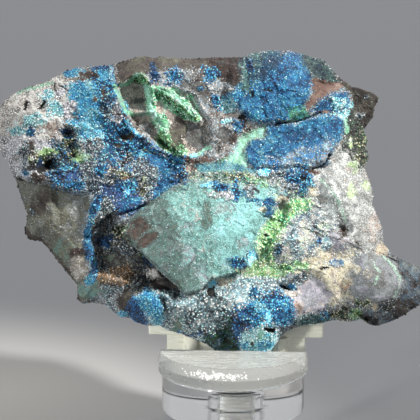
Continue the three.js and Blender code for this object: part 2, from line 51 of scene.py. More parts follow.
# Sizes are in millimetres, and places in picture units, across to the right and down. The front
# jaw, a disc 25 mm across, spans 150 of these units.
METRE = 0.001
UNIT = 25 / 150

# The height of the jaws' top, and the front jaw's straight edge along the slot.
JAW_TOP = 22.5
JAW_EDGE_Y = -5.0

# The slot's middle, the stone's middle and the middle of the view in the picture. The camera's
# distance in front of the stone is in millimetres.
SLOT_X, SLOT_Y = 233.0, 351.0
CENTRE_X, CENTRE_Y = 205.0, 195.0
SIGHT_X, SIGHT_Y = 210.0, 210.0
SIGHT_DISTANCE = 280.0
PICTURE_WIDTH = 420.0

# Outlines of the stone, its teal plate, its hollow and the green crusts in that.
OUTLINE = [
    (-2, 125), (-1, 112), (5, 101), (16, 93), (27, 88), (46, 82.5), (58, 76), (66, 71),
    (78, 67.5), (98, 66.5), (111, 65.5), (122, 62), (137, 57), (145, 56), (154, 58),
    (162, 56.5), (171, 58), (189, 59), (207, 58), (225, 57.5), (243, 57.5), (250, 54),
    (260, 52), (275, 51), (289, 51), (300, 53.5), (311, 57.5), (323, 60), (331, 68),
    (337, 76), (350, 86), (363, 89.5), (374, 93.5), (379, 98), (374, 108), (373, 116),
    (367, 125), (363, 131), (367, 139), (366, 147), (369, 156), (364, 169), (369, 180),
    (372.5, 191), (372, 205), (377, 216), (382, 227), (383, 243), (392, 255), (405, 262),
    (418, 266), (423, 275), (424, 286), (423, 298), (418, 306), (411, 310), (404, 315),
    (393, 320.5), (379, 325.5), (370, 325), (364, 317.5), (350, 321.5), (333, 319.5),
    (325, 322), (313, 324), (302, 325), (293, 328), (285, 332), (278, 340), (271, 350),
    (264, 359), (252, 362), (236, 361.5), (224, 358), (213, 348), (205, 343), (193, 338),
    (181, 333), (167, 329.5), (160, 325), (150, 325.5), (136, 322), (130, 317), (121, 317),
    (114, 312), (107, 305.5), (93, 302), (83, 304), (77.5, 299), (77.5, 285), (68, 273.5),
    (58, 261), (48, 248), (41, 241), (29, 239.5), (25, 231), (28, 214), (22, 200), (18, 186),
    (14, 174), (6, 160), (0, 149),
]

TEAL_PLATE = [
    (127, 227), (133, 217), (148, 203), (162, 194), (172, 186), (190, 180), (211, 181),
    (232, 184), (256, 190), (276, 197), (271, 216), (259, 234), (258, 250), (250, 262),
    (230, 270), (213, 277), (202, 285), (193, 290), (184, 280), (172, 270), (156, 255),
    (144, 243), (133, 235),
]
HOLLOW = [
    (113, 86), (121, 84), (130, 78), (139, 73), (148, 81), (162, 87), (180, 91), (195, 100),
    (199, 113), (209, 121), (210, 134), (210, 147), (197, 153), (185, 155), (168, 152),
    (157, 143), (148, 136), (136, 133), (131, 119), (125, 111), (120, 98),
]

GREEN_PLATES = [
    (148, 85), (160, 86), (168, 89), (178, 88), (184, 97), (190, 104), (198, 111), (202, 120),
    (194, 122), (180, 117), (170, 111), (165, 104), (160, 101), (155, 102), (155, 110), (158, 114),
    (165, 113), (169, 120), (171, 130), (172, 138), (177, 143), (184, 148), (187, 155), (176, 157),
    (166, 150), (158, 143), (155, 138), (158, 136), (157, 130), (152, 124), (148, 116), (146, 108),
    (146, 97),
]

# Plates and recesses: outline, rise in millimetres, width of the step, how even the plate is.
PLATES = [
    (TEAL_PLATE, 3.2, 0.9, 0.75),
    ([(88, 238), (112, 217), (127, 229), (144, 246), (157, 258), (172, 272), (184, 282), (192, 291),
      (176, 298), (158, 288), (140, 280), (118, 276), (98, 272)], -4.6, 1.6, 0),
    ([(10, 178), (45, 182), (64, 190), (86, 194), (93, 208), (86, 234), (90, 262), (97, 288), (84, 310),
      (50, 262), (16, 240)], -1.6, 1.2, 0.3),
    ([(113, 86), (121, 84), (130, 78), (139, 75), (150, 84), (154, 104), (164, 128), (168, 148),
      (157, 143), (148, 136), (136, 133), (131, 119), (125, 111), (120, 98)], -3.2, 0.9, 0.5),
    ([(150, 84), (165, 88), (180, 91), (195, 100), (200, 112), (209, 121), (210, 140), (206, 150),
      (190, 155), (168, 151), (160, 126), (153, 104)], -1.8, 1.6, 0.6),
    ([(232, 60), (262, 50), (312, 52), (318, 75), (309, 95), (304, 112), (288, 123), (262, 122),
      (240, 112), (226, 92)], 1.4, 1.2, 0.5),
    ([(245, 151), (250, 142), (264, 140), (268, 129), (280, 125), (298, 124), (308, 119), (326, 118),
      (342, 117), (345, 125), (338, 140), (331, 156), (325, 166), (312, 169), (298, 166), (272, 167),
      (256, 167), (247, 160)], 1.0, 0.9, 0.6),
    ([(311, 80), (349, 84), (332, 96), (316, 104), (307, 112)], -0.9, 0.8, 0.6),
    ([(262, 212), (282, 200), (290, 208), (284, 224), (272, 240), (264, 258), (250, 266), (252, 250),
      (258, 232)], -1.7, 0.8, 0),
    ([(129, 312), (134, 299), (145, 291), (156, 297), (162, 311), (159, 322), (146, 326),
      (133, 323)], 2.6, 1.2, 0),
    ([(288, 284), (306, 272), (322, 274), (333, 296), (318, 312), (296, 316)], -1.0, 1.0, 0.7),
    ([(352, 268), (366, 254), (384, 252), (398, 266), (400, 288), (390, 302), (366, 306),
      (354, 292)], 1.3, 1.0, 0.6),
    ([(388, 252), (405, 258), (430, 264), (430, 320), (376, 330), (362, 314), (388, 302),
      (400, 286)], -1.6, 1.2, 0.4),
    ([(150, 281), (162, 279), (178, 279), (188, 286), (184, 295), (170, 299), (155, 297)], 1.8, 0.9, 0.7),
    ([(334, 66), (350, 84), (384, 88), (384, 108), (366, 134), (356, 122), (352, 98),
      (344, 88)], -1.8, 1.4, 0),
]

# How ragged the edges of plates and ribs are, in picture units.
PLATE_WANDER = 1.6

# The teal plate's lower left edge overhangs: how far, over what width that fades, and which way.
OVERHANG = 1.6
OVERHANG_FADE = 4.0
OVERHANG_TOWARDS = (-0.6, 0.8)

# Lumps and pits: place, radii in picture units, rise in millimetres.
LUMPS = [
    ((212, 205), (150, 100), 3.2), ((205, 235), (58, 42), 1.8), ((190, 310), (44, 24), 2.4),
    ((266, 312), (32, 20), 2.2), ((257, 342), (20, 16), 1.6), ((36, 118), (40, 22), 2.6),
    ((94, 104), (22, 22), 1.5), ((22, 152), (20, 14), 1.4), ((285, 92), (40, 32), 1.6),
    ((372, 278), (20, 25), 2.2), ((350, 200), (22, 40), 1.6), ((300, 240), (30, 20), 1.6),
    ((120, 170), (34, 12), 1.2), ((190, 66), (40, 10), 1.2), ((48, 165), (8, 7), -3.2),
    ((344, 230), (7, 8), -1.8), ((126, 137), (9, 5), -2.0), ((68, 134), (8, 7), -2.2),
    ((72, 146), (6, 5), -1.6), ((136, 97), (12, 12), -1.2), ((26, 106), (3.5, 4), -1.6),
    ((42, 107), (3, 5), -1.8), ((86, 77), (11, 5), -1.4), ((226, 338), (10, 14), -2.4),
    ((285, 287), (6, 4), -2.0), ((270, 330), (6, 4), -2.0), ((330, 322), (18, 10), -1.6),
    ((320, 166), (7, 4), -1.6), ((58, 200), (5, 20), -0.8), ((154, 273), (8, 5), 1.4),
    ((116, 278), (20, 9), 1.6), ((341, 241), (11, 10), 1.0), ((306, 184), (11, 12), 1.0),
    ((121, 313), (6, 5), 1.2),
]

# How far a lump's slope reaches, in its radii.
LUMP_SKIRT = 1.6

# Ribs and crevices: path, width in picture units, rise in millimetres.
RIBS = [
    ([(140, 75), (151, 87), (151, 108), (159, 120), (163, 134), (172, 146), (183, 155)], 6.5, 2.8),
    ([(156, 88), (172, 96), (186, 108), (199, 121)], 8, 1.8),
    ([(115, 86), (123, 104), (131, 113), (149, 113)], 4, 1.8),
    ([(118, 104), (134, 128), (152, 143), (176, 158), (200, 158)], 6, 0.8),
    ([(84, 238), (110, 216), (136, 210), (163, 194), (180, 183)], 3, -1.8),
    ([(276, 124), (293, 123), (306, 119), (320, 114)], 2.5, -1.2),
    ([(312, 169), (322, 166), (330, 154)], 2.5, -1.4),
    ([(140, 148), (158, 155), (184, 164)], 2.5, -0.8),
]

# The bare face: its height, the slope upwards and the height where that is level. Layers of facets
# give their size, rise and seed.
FACE_LEVEL, FACE_SLOPE_UP, FACE_SLOPE_FROM = 1.6, -0.035, 25.0
FACE_FACETS = [(8, 1.1, 3), (3.6, 0.7, 8)]
FINE_FACETS = [(1.5, 0.2, 21), (0.8, 0.1, 27)]

# The rim: its depth, the rise, size and seed of the facets that it wanders by, and the height over
# the jaw by which it does so in full.
RIM_DEPTH, RIM_WANDER, RIM_FACET, RIM_SEED, RIM_CALM = -3.4, 2.2, 10.0, 17, 12.0

# The rounding from the rim to the face and to the back.
EDGE_WIDTH, BACK_EDGE_WIDTH, EDGE_ROUNDNESS = 5.0, 6.0, 2.3

# The back's flat breaks: depth, and its growth to the right and upwards from the back's middle.
BACK_MIDDLE = 24.0
BACK_BREAKS = [
    (9.4, 0.14, 0.02), (9.9, -0.24, 0.12), (11.6, 0.06, -0.3), (10.4, 0.36, -0.1), (8.6, -0.06, 0.2),
]
BACK_FACETS = [(12, 1.5, 5), (5, 0.6, 11)]

# The part between the jaws: how far out it reaches, up to what height, and how fast it widens
# above that. Its rounded edges are narrow and widen up to the height of the last value.
SLOT_FACE_OUT, SLOT_FACE_TOP, SLOT_FACE_GROWTH = -0.6, 0.5, 1.5
SLOT_BACK_OUT, SLOT_BACK_TOP, SLOT_BACK_GROWTH = 5.9, 4.8, 1.2
SLOT_EDGE_WIDTH, SLOT_EDGE_CALM = 1.5, 11.0

# Squares along each side of the face's grid.
FACE_CELLS = 280
TRIANGLE_HEIGHT = math.sqrt(3) / 2

# Minerals, as sRGB hex colours.
MINERALS = {
    "deep_blue": ("16497c", "The darkest cornetite crust"),
    "blue": ("2c80be", "The common cornetite crust"),
    "indigo": ("46588c", "Violet-blue crust"),
    "sky": ("4cb2dc", "Cornetite in strong light"),
    "ice": ("a6e2ef", "The palest blue crust"),
    "teal": ("6f9f99", "The dome's left side"),
    "turquoise": ("9ad6d2", "The dome's right side"),
    "mint": ("b4ecc9", "Smooth pale green veins"),
    "green": ("52b078", "Malachite in the boxwork"),
    "moss": ("256340", "The darkest green"),
    "lime": ("b9dc92", "Yellow-green granules"),
    "cream": ("e9e0be", "Cream crust"),
    "beige": ("c8bdb4", "Granular upper left slab"),
    "grey": ("8e9596", "Grey druse"),
    "white": ("eef2f0", "Glittering white grains"),
    "slate_blue": ("5f7c90", "Grey-blue druse"),
    "lilac": ("aaa8b6", "Lavender druse"),
    "brown": ("5e5450", "Matrix"),
    "rust": ("805f54", "Red-brown matrix"),
    "salmon": ("b08f82", "Salmon patch"),
    "tan": ("c29a6c", "Orange-tan patches"),
    "olive": ("80806f", "Left slab"),
    # Painted shade: the darkest grains, and the dark end of most palettes, for the shaded gaps between
    # grains.
    "black": ("15171a", "Gaps between grains"),
}

# Palettes: family of grains, grain size in millimetres, cover, brightness, height of the knobs in
# millimetres, and shares of the minerals from the dark ones to the light ones.
PALETTES = {
    "matrix": ("pale", 0.34, 0.8, 1.73, 0.14,
        {"black": 1, "brown": 4, "grey": 4, "slate_blue": 1, "beige": 1.5}),
    "brown": ("pale", 0.36, 0.5, 0.8, 0.15, {"black": 1, "brown": 6, "rust": 1, "grey": 1}),
    "rust": ("pale", 0.36, 0.4, 0.21, 0.08, {"brown": 4, "rust": 4, "grey": 2, "beige": 1}),
    "bark": ("pale", 0.27, 0.25, 0.64, 0.05, {"black": 1, "brown": 5, "olive": 2}),
    "shade": ("pale", 0.27, 0.15, 0.7, 0.04, {"black": 5, "brown": 2, "olive": 1}),
    "hollow": ("pale", 0.3, 0.5, 1.18, 0.03, {"brown": 6, "beige": 0.7, "grey": 2.4, "olive": 1}),
    "floor": ("pale", 0.31, 0.6, 0.46, 0.05, {"brown": 4, "grey": 3, "beige": 1.5}),
    "olive": ("pale", 0.29, 0.6, 0.81, 0.08, {"brown": 1, "olive": 6, "grey": 2, "white": 0.6}),
    "pale_olive": ("pale", 0.32, 0.7, 0.95, 0.1, {"olive": 3, "beige": 4, "white": 2}),
    "sage": ("pale", 0.27, 0.3, 0.8, 0.05, {"olive": 5, "teal": 1, "grey": 2}),
    "beige": ("pale", 0.38, 0.95, 1.47, 0.15, {"brown": 1, "grey": 3, "beige": 6, "white": 6}),
    "lilac": ("pale", 0.38, 0.9, 3.14, 0.2,
        {"black": 1, "brown": 1, "grey": 3, "lilac": 4, "white": 1.5}),
    "druse": ("pale", 0.35, 1.0, 1.07, 0.25,
        {"black": 2, "slate_blue": 3, "grey": 2, "lilac": 3, "ice": 1.5, "white": 2.5}),
    "coarse": ("pale", 0.48, 1.0, 0.75, 0.2,
        {"black": 3.5, "slate_blue": 2.5, "grey": 2.5, "ice": 2, "white": 5}),
    "frost": ("pale", 0.31, 1.0, 1.8, 0.17,
        {"black": 0.7, "slate_blue": 3, "grey": 5, "beige": 1, "mint": 0.8, "cream": 2, "white": 0.2}),
    "hoar": ("pale", 0.43, 1.0, 1.64, 0.2,
        {"black": 1.2, "slate_blue": 3, "grey": 3, "ice": 3, "white": 2}),
    "rock": ("pale", 0.41, 0.6, 0.95, 0.12, {"black": 1, "brown": 3, "olive": 3, "grey": 4, "beige": 1}),
    "red_rock": ("pale", 0.41, 0.6, 0.95, 0.1,
        {"black": 1, "brown": 3, "rust": 4, "grey": 1, "beige": 1}),
    "slate": ("pale", 0.35, 1.0, 1.26, 0.25,
        {"black": 2, "slate_blue": 4, "grey": 2, "lilac": 2, "ice": 1, "white": 1.5}),
    "lavender": ("blue", 0.36, 1.0, 1.43, 0.14,
        {"black": 1, "deep_blue": 1, "blue": 3, "slate_blue": 4, "grey": 2, "lilac": 2, "ice": 1}),
    "rough": ("pale", 0.3, 0.9, 0.84, 0.06, {"olive": 1, "beige": 1, "grey": 4, "white": 3.6}),
    # Pale crust made lighter still: painted light on a slope turned away from the key light.
    "chalk": ("pale", 0.33, 0.9, 1.6, 0.08, {"olive": 1, "grey": 4, "white": 5}),
    "lichen": ("pale", 0.33, 0.8, 0.95, 0.08, {"olive": 1, "grey": 1, "lime": 4, "white": 3}),
    "cream": ("pale", 0.34, 0.9, 0.89, 0.08,
        {"brown": 0.3, "grey": 3, "beige": 0.5, "cream": 5, "white": 2}),
    "pearl": ("teal", 0.25, 1.0, 0.75, 0.03,
        {"teal": 3, "grey": 2, "turquoise": 2, "lilac": 3, "white": 2}),
    "facet": ("pale", 0.25, 0.3, 0.92, 0.03, {"grey": 3, "lilac": 3, "beige": 2, "white": 1}),
    "blush": ("pale", 0.32, 0.8, 0.85, 0.08, {"grey": 1, "salmon": 2, "beige": 4, "white": 2}),
    "buff": ("pale", 0.32, 0.8, 0.95, 0.08, {"brown": 0.5, "tan": 2, "beige": 2, "cream": 3}),
    "thread": ("pale", 0.23, 0.8, 1.09, 0.08, {"grey": 1, "mint": 4, "white": 3}),
    "lace": ("blue", 0.36, 1.0, 2.83, 0.25,
        {"black": 1, "teal": 2, "sky": 2.5, "turquoise": 2, "ice": 4, "white": 1}),
    "stain": ("pale", 0.26, 0.6, 0.19, 0.04, {"brown": 3, "salmon": 3, "teal": 0.8, "grey": 1}),
    "salmon": ("pale", 0.27, 0.4, 0.45, 0.04, {"rust": 3, "salmon": 5, "beige": 1}),
    "tan": ("pale", 0.38, 0.8, 0.89, 0.2, {"black": 1, "brown": 2, "tan": 4, "beige": 1}),
    "lobe": ("pale", 0.27, 0.4, 1.03, 0.06, {"brown": 1, "grey": 6, "lilac": 1, "white": 0.5}),
    "horn": ("pale", 0.29, 0.4, 0.5, 0.12, {"black": 2, "brown": 6, "olive": 1, "grey": 1}),
    "fringe": ("pale", 0.38, 0.9, 0.26, 0.18, {"black": 2, "brown": 3, "grey": 3, "mint": 2, "white": 1}),
    "dark": ("pale", 0.29, 0.5, 1.05, 0.1, {"black": 3, "brown": 2, "slate_blue": 1, "grey": 3}),
    # Painted shade: black with no grains, in pits and crevices, and a painted shadow under the teal plate.
    "gap": ("pale", 0.27, 0.0, 0.6, 0.0, {"black": 1}),
    # The recess's blue-grey and olive grains made lighter: painted light where the recess lies in shade.
    "grit": ("pale", 0.4, 1.0, 1.38, 0.25,
        {"black": 3, "slate_blue": 2, "grey": 2.6, "brown": 1.6, "olive": 2, "white": 0.4}),
    "gloom": ("pale", 0.38, 0.85, 0.67, 0.25,
        {"black": 4, "slate_blue": 2, "olive": 3, "grey": 3, "white": 0.5}),
    "indigo": ("blue", 0.38, 1.0, 0.9, 0.15,
        {"black": 1, "deep_blue": 2, "indigo": 6, "blue": 1, "lilac": 1}),
    "dusk": ("blue", 0.36, 1.0, 0.26, 0.15, {"deep_blue": 3, "blue": 6, "sky": 3}),
    "dusk_floor": ("pale", 0.36, 0.9, 0.8, 0.15, {"black": 2, "brown": 2, "grey": 3, "olive": 1}),
    # Navy crust under a painted shadow, for the shaded notch at the stone's lower tip.
    "ink": ("blue", 0.41, 0.8, 1.05, 0.2, {"black": 6, "moss": 0.4, "deep_blue": 2, "slate_blue": 0.6}),
    "navy": ("blue", 0.41, 0.95, 1.12, 0.2, {"black": 3, "deep_blue": 5, "blue": 0.5}),
    "deep": ("blue", 0.36, 1.0, 0.71, 0.14,
        {"black": 1.3, "deep_blue": 4, "blue": 6, "sky": 4, "ice": 0.3}),
    # A lighter copy of the deep crust: painted light where the upper blue's slope lies in shade.
    "cobalt": ("blue", 0.36, 1.0, 0.82, 0.14,
        {"black": 0.8, "deep_blue": 3, "blue": 7, "sky": 4, "ice": 0.3}),
    "azure": ("blue", 0.41, 1.0, 1.24, 0.25,
        {"black": 1.5, "deep_blue": 3, "blue": 5, "sky": 2, "ice": 1}),
    "cyan": ("blue", 0.38, 1.0, 1.22, 0.2, {"deep_blue": 1, "blue": 3, "sky": 9, "ice": 1.5}),
    "ice": ("blue", 0.38, 1.0, 2.86, 0.2, {"deep_blue": 0.7, "blue": 1, "sky": 4, "ice": 7}),
    "mixed": ("blue", 0.41, 1.0, 0.76, 0.3,
        {"black": 2, "deep_blue": 2, "blue": 2, "slate_blue": 2, "grey": 3, "sky": 1, "ice": 1}),
    "dim_teal": ("teal", 0.25, 1.0, 0.58, 0.08,
        {"brown": 1, "olive": 2, "teal": 4, "grey": 2.6, "turquoise": 1, "white": 1}),
    "teal": ("teal", 0.25, 1.0, 0.83, 0.08,
        {"olive": 1.2, "teal": 6, "turquoise": 5, "beige": 0.7, "white": 1.4}),
    "turquoise": ("teal", 0.26, 1.0, 0.93, 0.08, {"teal": 4, "turquoise": 8, "ice": 0.7, "white": 1.4}),
    "spill": ("teal", 0.27, 1.0, 0.54, 0.08, {"teal": 4, "sky": 2, "turquoise": 6, "ice": 2}),
    "sea": ("teal", 0.38, 1.0, 0.5, 0.12,
        {"black": 2, "deep_blue": 2, "teal": 5, "turquoise": 1.5, "white": 0.5}),
    "fern": ("teal", 0.38, 1.0, 0.24, 0.12, {"black": 1, "deep_blue": 2, "teal": 4, "turquoise": 1}),
    "teal_vein": ("teal", 0.31, 1.0, 0.8, 0.08, {"moss": 1, "teal": 3, "green": 2, "sky": 3}),
    "mint": ("green", 0.27, 0.8, 0.77, 0.05,
        {"teal": 1, "green": 1, "mint": 5, "turquoise": 3, "white": 0.4}),
    "vein": ("green", 0.34, 0.95, 2.13, 0.22, {"moss": 2, "green": 4.7, "mint": 5.3, "white": 0.6}),
    # Pale mint rib crust made brighter: painted light on the long rib's shaded upper left side.
    "net": ("green", 0.3, 1.0, 1.9, 0.14, {"moss": 1, "green": 2, "mint": 5, "ice": 2.5, "white": 1}),
    "green": ("green", 0.45, 1.0, 1.0, 0.2, {"black": 2, "moss": 2, "green": 5, "lime": 1, "mint": 2}),
    "leaf": ("green", 0.4, 1.0, 2.6, 0.22,
        {"moss": 0.7, "green": 5.6, "lime": 1, "mint": 3.8, "cream": 0.5}),
    "lime": ("green", 0.41, 1.0, 1.35, 0.2,
        {"black": 0.7, "moss": 0.5, "green": 3, "lime": 5, "mint": 1.5, "cream": 2}),
    "speckle": ("green", 0.45, 1.0, 0.61, 0.25,
        {"black": 3, "grey": 2, "lime": 2, "cream": 3, "white": 1}),
    "sprigs": ("sprig", 0.4, 1.0, 1.9, 0.22, {"moss": 1, "green": 3, "lime": 5, "mint": 3}),
    "moss": ("green", 0.45, 1.0, 0.8, 0.3, {"black": 4, "moss": 1, "olive": 3, "cream": 1, "lime": 0.5}),
}

# The crusts on the face, in the order they lie over each other: palette, how ragged the edge is
# in picture units, and outline.
PATCHES = [
    ("olive", 3, [(8, 176), (30, 180), (50, 184), (70, 192), (92, 196), (86, 212), (82, 230), (84, 256),
        (88, 300), (70, 310), (0, 250)]),
    ("beige", 4, [(-6, 142), (-6, 105), (30, 80), (62, 70), (80, 72), (74, 96), (62, 112), (66, 132),
        (45, 142)]),
    ("lilac", 4, [(-6, 140), (20, 136), (48, 140), (60, 150), (50, 172), (20, 180), (0, 160)]),
    ("mixed", 5, [(50, 142), (66, 138), (100, 140), (112, 165), (100, 185), (70, 190), (52, 184),
        (46, 172)]),
    ("druse", 4, [(75, 140), (92, 138), (102, 150), (100, 168), (100, 184), (84, 182), (78, 166)]),
    ("slate", 4, [(82, 176), (102, 172), (122, 180), (112, 192), (96, 200), (86, 194)]),
    ("cyan", 4, [(66, 84), (84, 80), (96, 66), (112, 64), (118, 86), (112, 112), (122, 128), (128, 148),
        (104, 142), (84, 130), (68, 106)]),
    ("azure", 4, [(98, 78), (114, 76), (116, 96), (110, 118), (118, 136), (108, 142), (98, 124),
        (104, 100)]),
    ("ice", 4, [(70, 118), (88, 122), (104, 130), (108, 146), (96, 142), (78, 134)]),
    ("azure", 4, [(110, 120), (120, 112), (132, 130), (152, 142), (174, 152), (190, 160), (184, 176),
        (160, 182), (132, 172), (112, 160), (100, 140)]),
    ("slate", 4, [(128, 158), (142, 154), (154, 160), (158, 176), (154, 194), (146, 202), (134, 176)]),
    ("indigo", 3, [(103, 184), (118, 178), (134, 180), (140, 196), (144, 204), (134, 214), (112, 216),
        (98, 204)]),
    ("druse", 3, [(97, 200), (106, 194), (116, 200), (118, 214), (104, 222), (96, 218)]),
    ("deep", 3, [(156, 156), (184, 156), (182, 170), (178, 184), (160, 200), (152, 198), (158, 178)]),
    ("brown", 3, [(186, 158), (206, 154), (226, 160), (208, 172), (196, 176), (186, 174)]),
    ("bark", 2, [(116, 62), (138, 54), (166, 54), (168, 66), (156, 72), (140, 74), (130, 80), (118, 84)]),
    ("bark", 2, [(160, 55), (215, 54), (215, 68), (188, 72), (166, 68)]),
    ("rust", 2, [(204, 55), (246, 54), (246, 68), (240, 84), (228, 88), (210, 74)]),
    ("matrix", 4, [(162, 72), (200, 72), (226, 84), (232, 116), (240, 150), (214, 160), (208, 120),
        (190, 98), (168, 84)]),
    ("floor", 4, [(176, 80), (202, 76), (214, 92), (210, 104), (196, 98)]),
    ("azure", 3, [(164, 73), (176, 69), (184, 76), (180, 84), (168, 86)]),
    ("azure", 2, [(202, 67), (214, 66), (220, 74), (214, 82), (204, 80)]),
    ("hollow", 1, HOLLOW),
    ("floor", 4, [(170, 124), (196, 120), (212, 130), (210, 150), (196, 153), (186, 150), (180, 138),
        (172, 132)]),
    ("vein", 0.8, GREEN_PLATES),
    ("hollow", 0.8, [(156, 102), (162, 101), (164, 108), (161, 113), (156, 112)]),
    ("green", 1, [(156, 136), (162, 130), (170, 133), (180, 141), (187, 152), (180, 157), (166, 151),
        (157, 143)]),
    ("green", 1, [(131, 80), (141, 72), (150, 82), (148, 86), (140, 83)]),
    ("deep", 3, [(234, 86), (250, 72), (268, 56), (312, 52), (312, 80), (306, 100), (304, 116),
        (284, 124), (262, 122), (244, 118), (236, 104)]),
    ("dusk", 4, [(272, 82), (292, 74), (306, 88), (302, 106), (286, 110), (270, 102)]),
    ("dusk", 4, [(250, 58), (262, 50), (282, 50), (280, 74), (262, 78), (250, 76)]),
    ("sea", 4, [(240, 60), (256, 52), (270, 50), (262, 62), (256, 78), (252, 90), (242, 90)]),
    ("fern", 3, [(296, 52), (328, 60), (340, 82), (314, 80), (304, 66)]),
    ("teal_vein", 2, [(289, 105), (296, 101), (304, 104), (309, 116), (300, 121), (288, 120)]),
    ("salmon", 1.5, [(309, 80), (316, 77), (349, 84), (338, 92), (324, 98), (314, 104), (306, 112),
        (304, 104), (310, 96)]),
    ("deep", 3, [(310, 110), (322, 100), (348, 90), (352, 106), (340, 116), (318, 117)]),
    ("horn", 1.5, [(330, 70), (350, 84), (384, 90), (382, 110), (372, 138), (354, 130), (352, 96)]),
    ("deep", 2, [(245, 151), (250, 141), (265, 139), (268, 124), (292, 126), (308, 119), (326, 117),
        (343, 118), (346, 126), (338, 142), (333, 156), (318, 168), (298, 160), (272, 166), (256, 167),
        (247, 160)]),
    ("lavender", 6, [(268, 160), (284, 152), (300, 144), (334, 142), (334, 156), (318, 172), (296, 178),
        (268, 174)]),
    ("azure", 4, [(290, 172), (302, 166), (316, 176), (318, 188), (304, 200), (294, 190)]),
    ("mint", 3, [(238, 140), (252, 128), (266, 128), (264, 138), (250, 142), (245, 152), (250, 164),
        (240, 176), (200, 176), (196, 166), (224, 158), (234, 154)]),
    ("spill", 3, [(196, 164), (226, 160), (256, 168), (270, 168), (262, 177), (200, 178)]),
    ("speckle", 3, [(188, 174), (250, 174), (262, 184), (250, 192), (212, 184), (188, 182)]),
    ("druse", 3, [(260, 172), (286, 170), (300, 184), (298, 204), (280, 210), (266, 190)]),
    ("rough", 4, [(312, 172), (328, 162), (340, 144), (352, 124), (362, 130), (372, 150), (376, 200),
        (388, 250), (366, 262), (330, 236), (306, 200), (318, 188)]),
    ("fringe", 3, [(344, 112), (356, 108), (360, 124), (374, 134), (376, 160), (360, 168), (350, 156),
        (342, 150)]),
    ("frost", 4, [(262, 178), (280, 182), (294, 200), (316, 200), (330, 216), (334, 250), (316, 266),
        (280, 266), (268, 246), (280, 214), (268, 196)]),
    ("lime", 4, [(246, 180), (264, 182), (272, 196), (304, 196), (312, 206), (306, 212), (290, 218),
        (278, 236), (268, 254), (258, 256), (264, 236), (274, 216), (280, 204), (258, 192)]),
    # The upper blue crust with painted light on its shaded slope.
    ("cobalt", 5, [(262, 82), (278, 74), (300, 74), (306, 90), (300, 104), (276, 107), (262, 98)]),
    ("cream", 4, [(292, 262), (330, 248), (356, 252), (356, 300), (336, 304), (320, 290), (298, 280)]),
    ("facet", 1.5, [(288, 290), (306, 276), (322, 278), (334, 296), (320, 314), (296, 318), (286, 300)]),
    ("lobe", 2, [(350, 262), (372, 250), (392, 256), (402, 272), (402, 290), (394, 302), (366, 306),
        (350, 294)]),
    ("dark", 2, [(391, 250), (430, 258), (430, 316), (376, 332), (362, 314), (378, 306), (396, 300),
        (404, 284), (400, 268)]),
    ("gloom", 4, [(92, 232), (110, 214), (130, 226), (150, 252), (164, 268), (186, 286), (176, 300),
        (150, 292), (120, 292), (96, 286), (92, 262)]),
    ("dusk_floor", 4, [(96, 256), (124, 246), (140, 256), (138, 268), (116, 270), (98, 272)]),
    ("tan", 4, [(98, 272), (118, 268), (134, 266), (136, 276), (124, 286), (112, 282), (98, 280)]),
    ("shade", 1, [(150, 281), (162, 279), (178, 279), (188, 286), (184, 295), (170, 299), (155, 297)]),
    ("druse", 3, [(100, 284), (112, 284), (122, 290), (114, 304), (116, 314), (108, 312), (104, 298)]),
    ("bark", 2, [(118, 300), (126, 290), (136, 290), (136, 300), (130, 316), (120, 310)]),
    ("coarse", 3, [(150, 292), (188, 292), (204, 280), (240, 290), (240, 304), (232, 322), (214, 348),
        (180, 336), (154, 326)]),
    ("hoar", 4, [(196, 274), (214, 276), (240, 268), (262, 272), (288, 280), (290, 296), (256, 304),
        (222, 298), (200, 290)]),
    # Navy crust under a painted shadow in the notch at the lower tip.
    ("ink", 2, [(204, 334), (222, 328), (232, 314), (240, 326), (240, 352), (234, 366), (206, 352)]),
    ("azure", 4, [(238, 306), (262, 296), (276, 294), (290, 298), (298, 316), (282, 328), (256, 332),
        (246, 326)]),
    ("navy", 3, [(234, 312), (248, 308), (252, 322), (242, 330), (240, 346), (232, 336)]),
    ("slate", 3, [(264, 322), (290, 324), (286, 336), (274, 348), (262, 342)]),
    ("lace", 3, [(240, 334), (262, 326), (274, 330), (278, 342), (268, 364), (238, 366)]),
    ("sea", 3, [(292, 318), (312, 312), (330, 310), (334, 322), (304, 328)]),
    # The nodule's blue crust, navy on the left as painted shade and cyan on the right as painted light.
    ("navy", 2, [(126, 312), (134, 296), (146, 300), (148, 330), (134, 328)]),
    ("cyan", 2, [(136, 298), (148, 288), (160, 300), (164, 318), (156, 330), (150, 318), (142, 306)]),
    ("dim_teal", 1, TEAL_PLATE),
    ("teal", 8, [(168, 190), (200, 180), (280, 196), (270, 220), (256, 262), (214, 280), (194, 262),
        (180, 230)]),
    ("turquoise", 8, [(216, 196), (240, 184), (280, 196), (270, 222), (260, 258), (240, 268),
        (224, 260), (214, 232)]),
    ("leaf", 2, [(256, 240), (260, 230), (268, 220), (276, 212), (288, 203), (300, 199), (311, 200),
        (311, 208),
                 (301, 212), (292, 220), (284, 229), (274, 238), (269, 248), (272, 262), (262, 263),
        (257, 253)]),
    ("lime", 2, [(238, 270), (250, 262), (260, 258), (268, 258), (276, 266), (290, 263), (300, 262),
        (299, 268),
                 (286, 273), (278, 279), (262, 276), (246, 276)]),
]
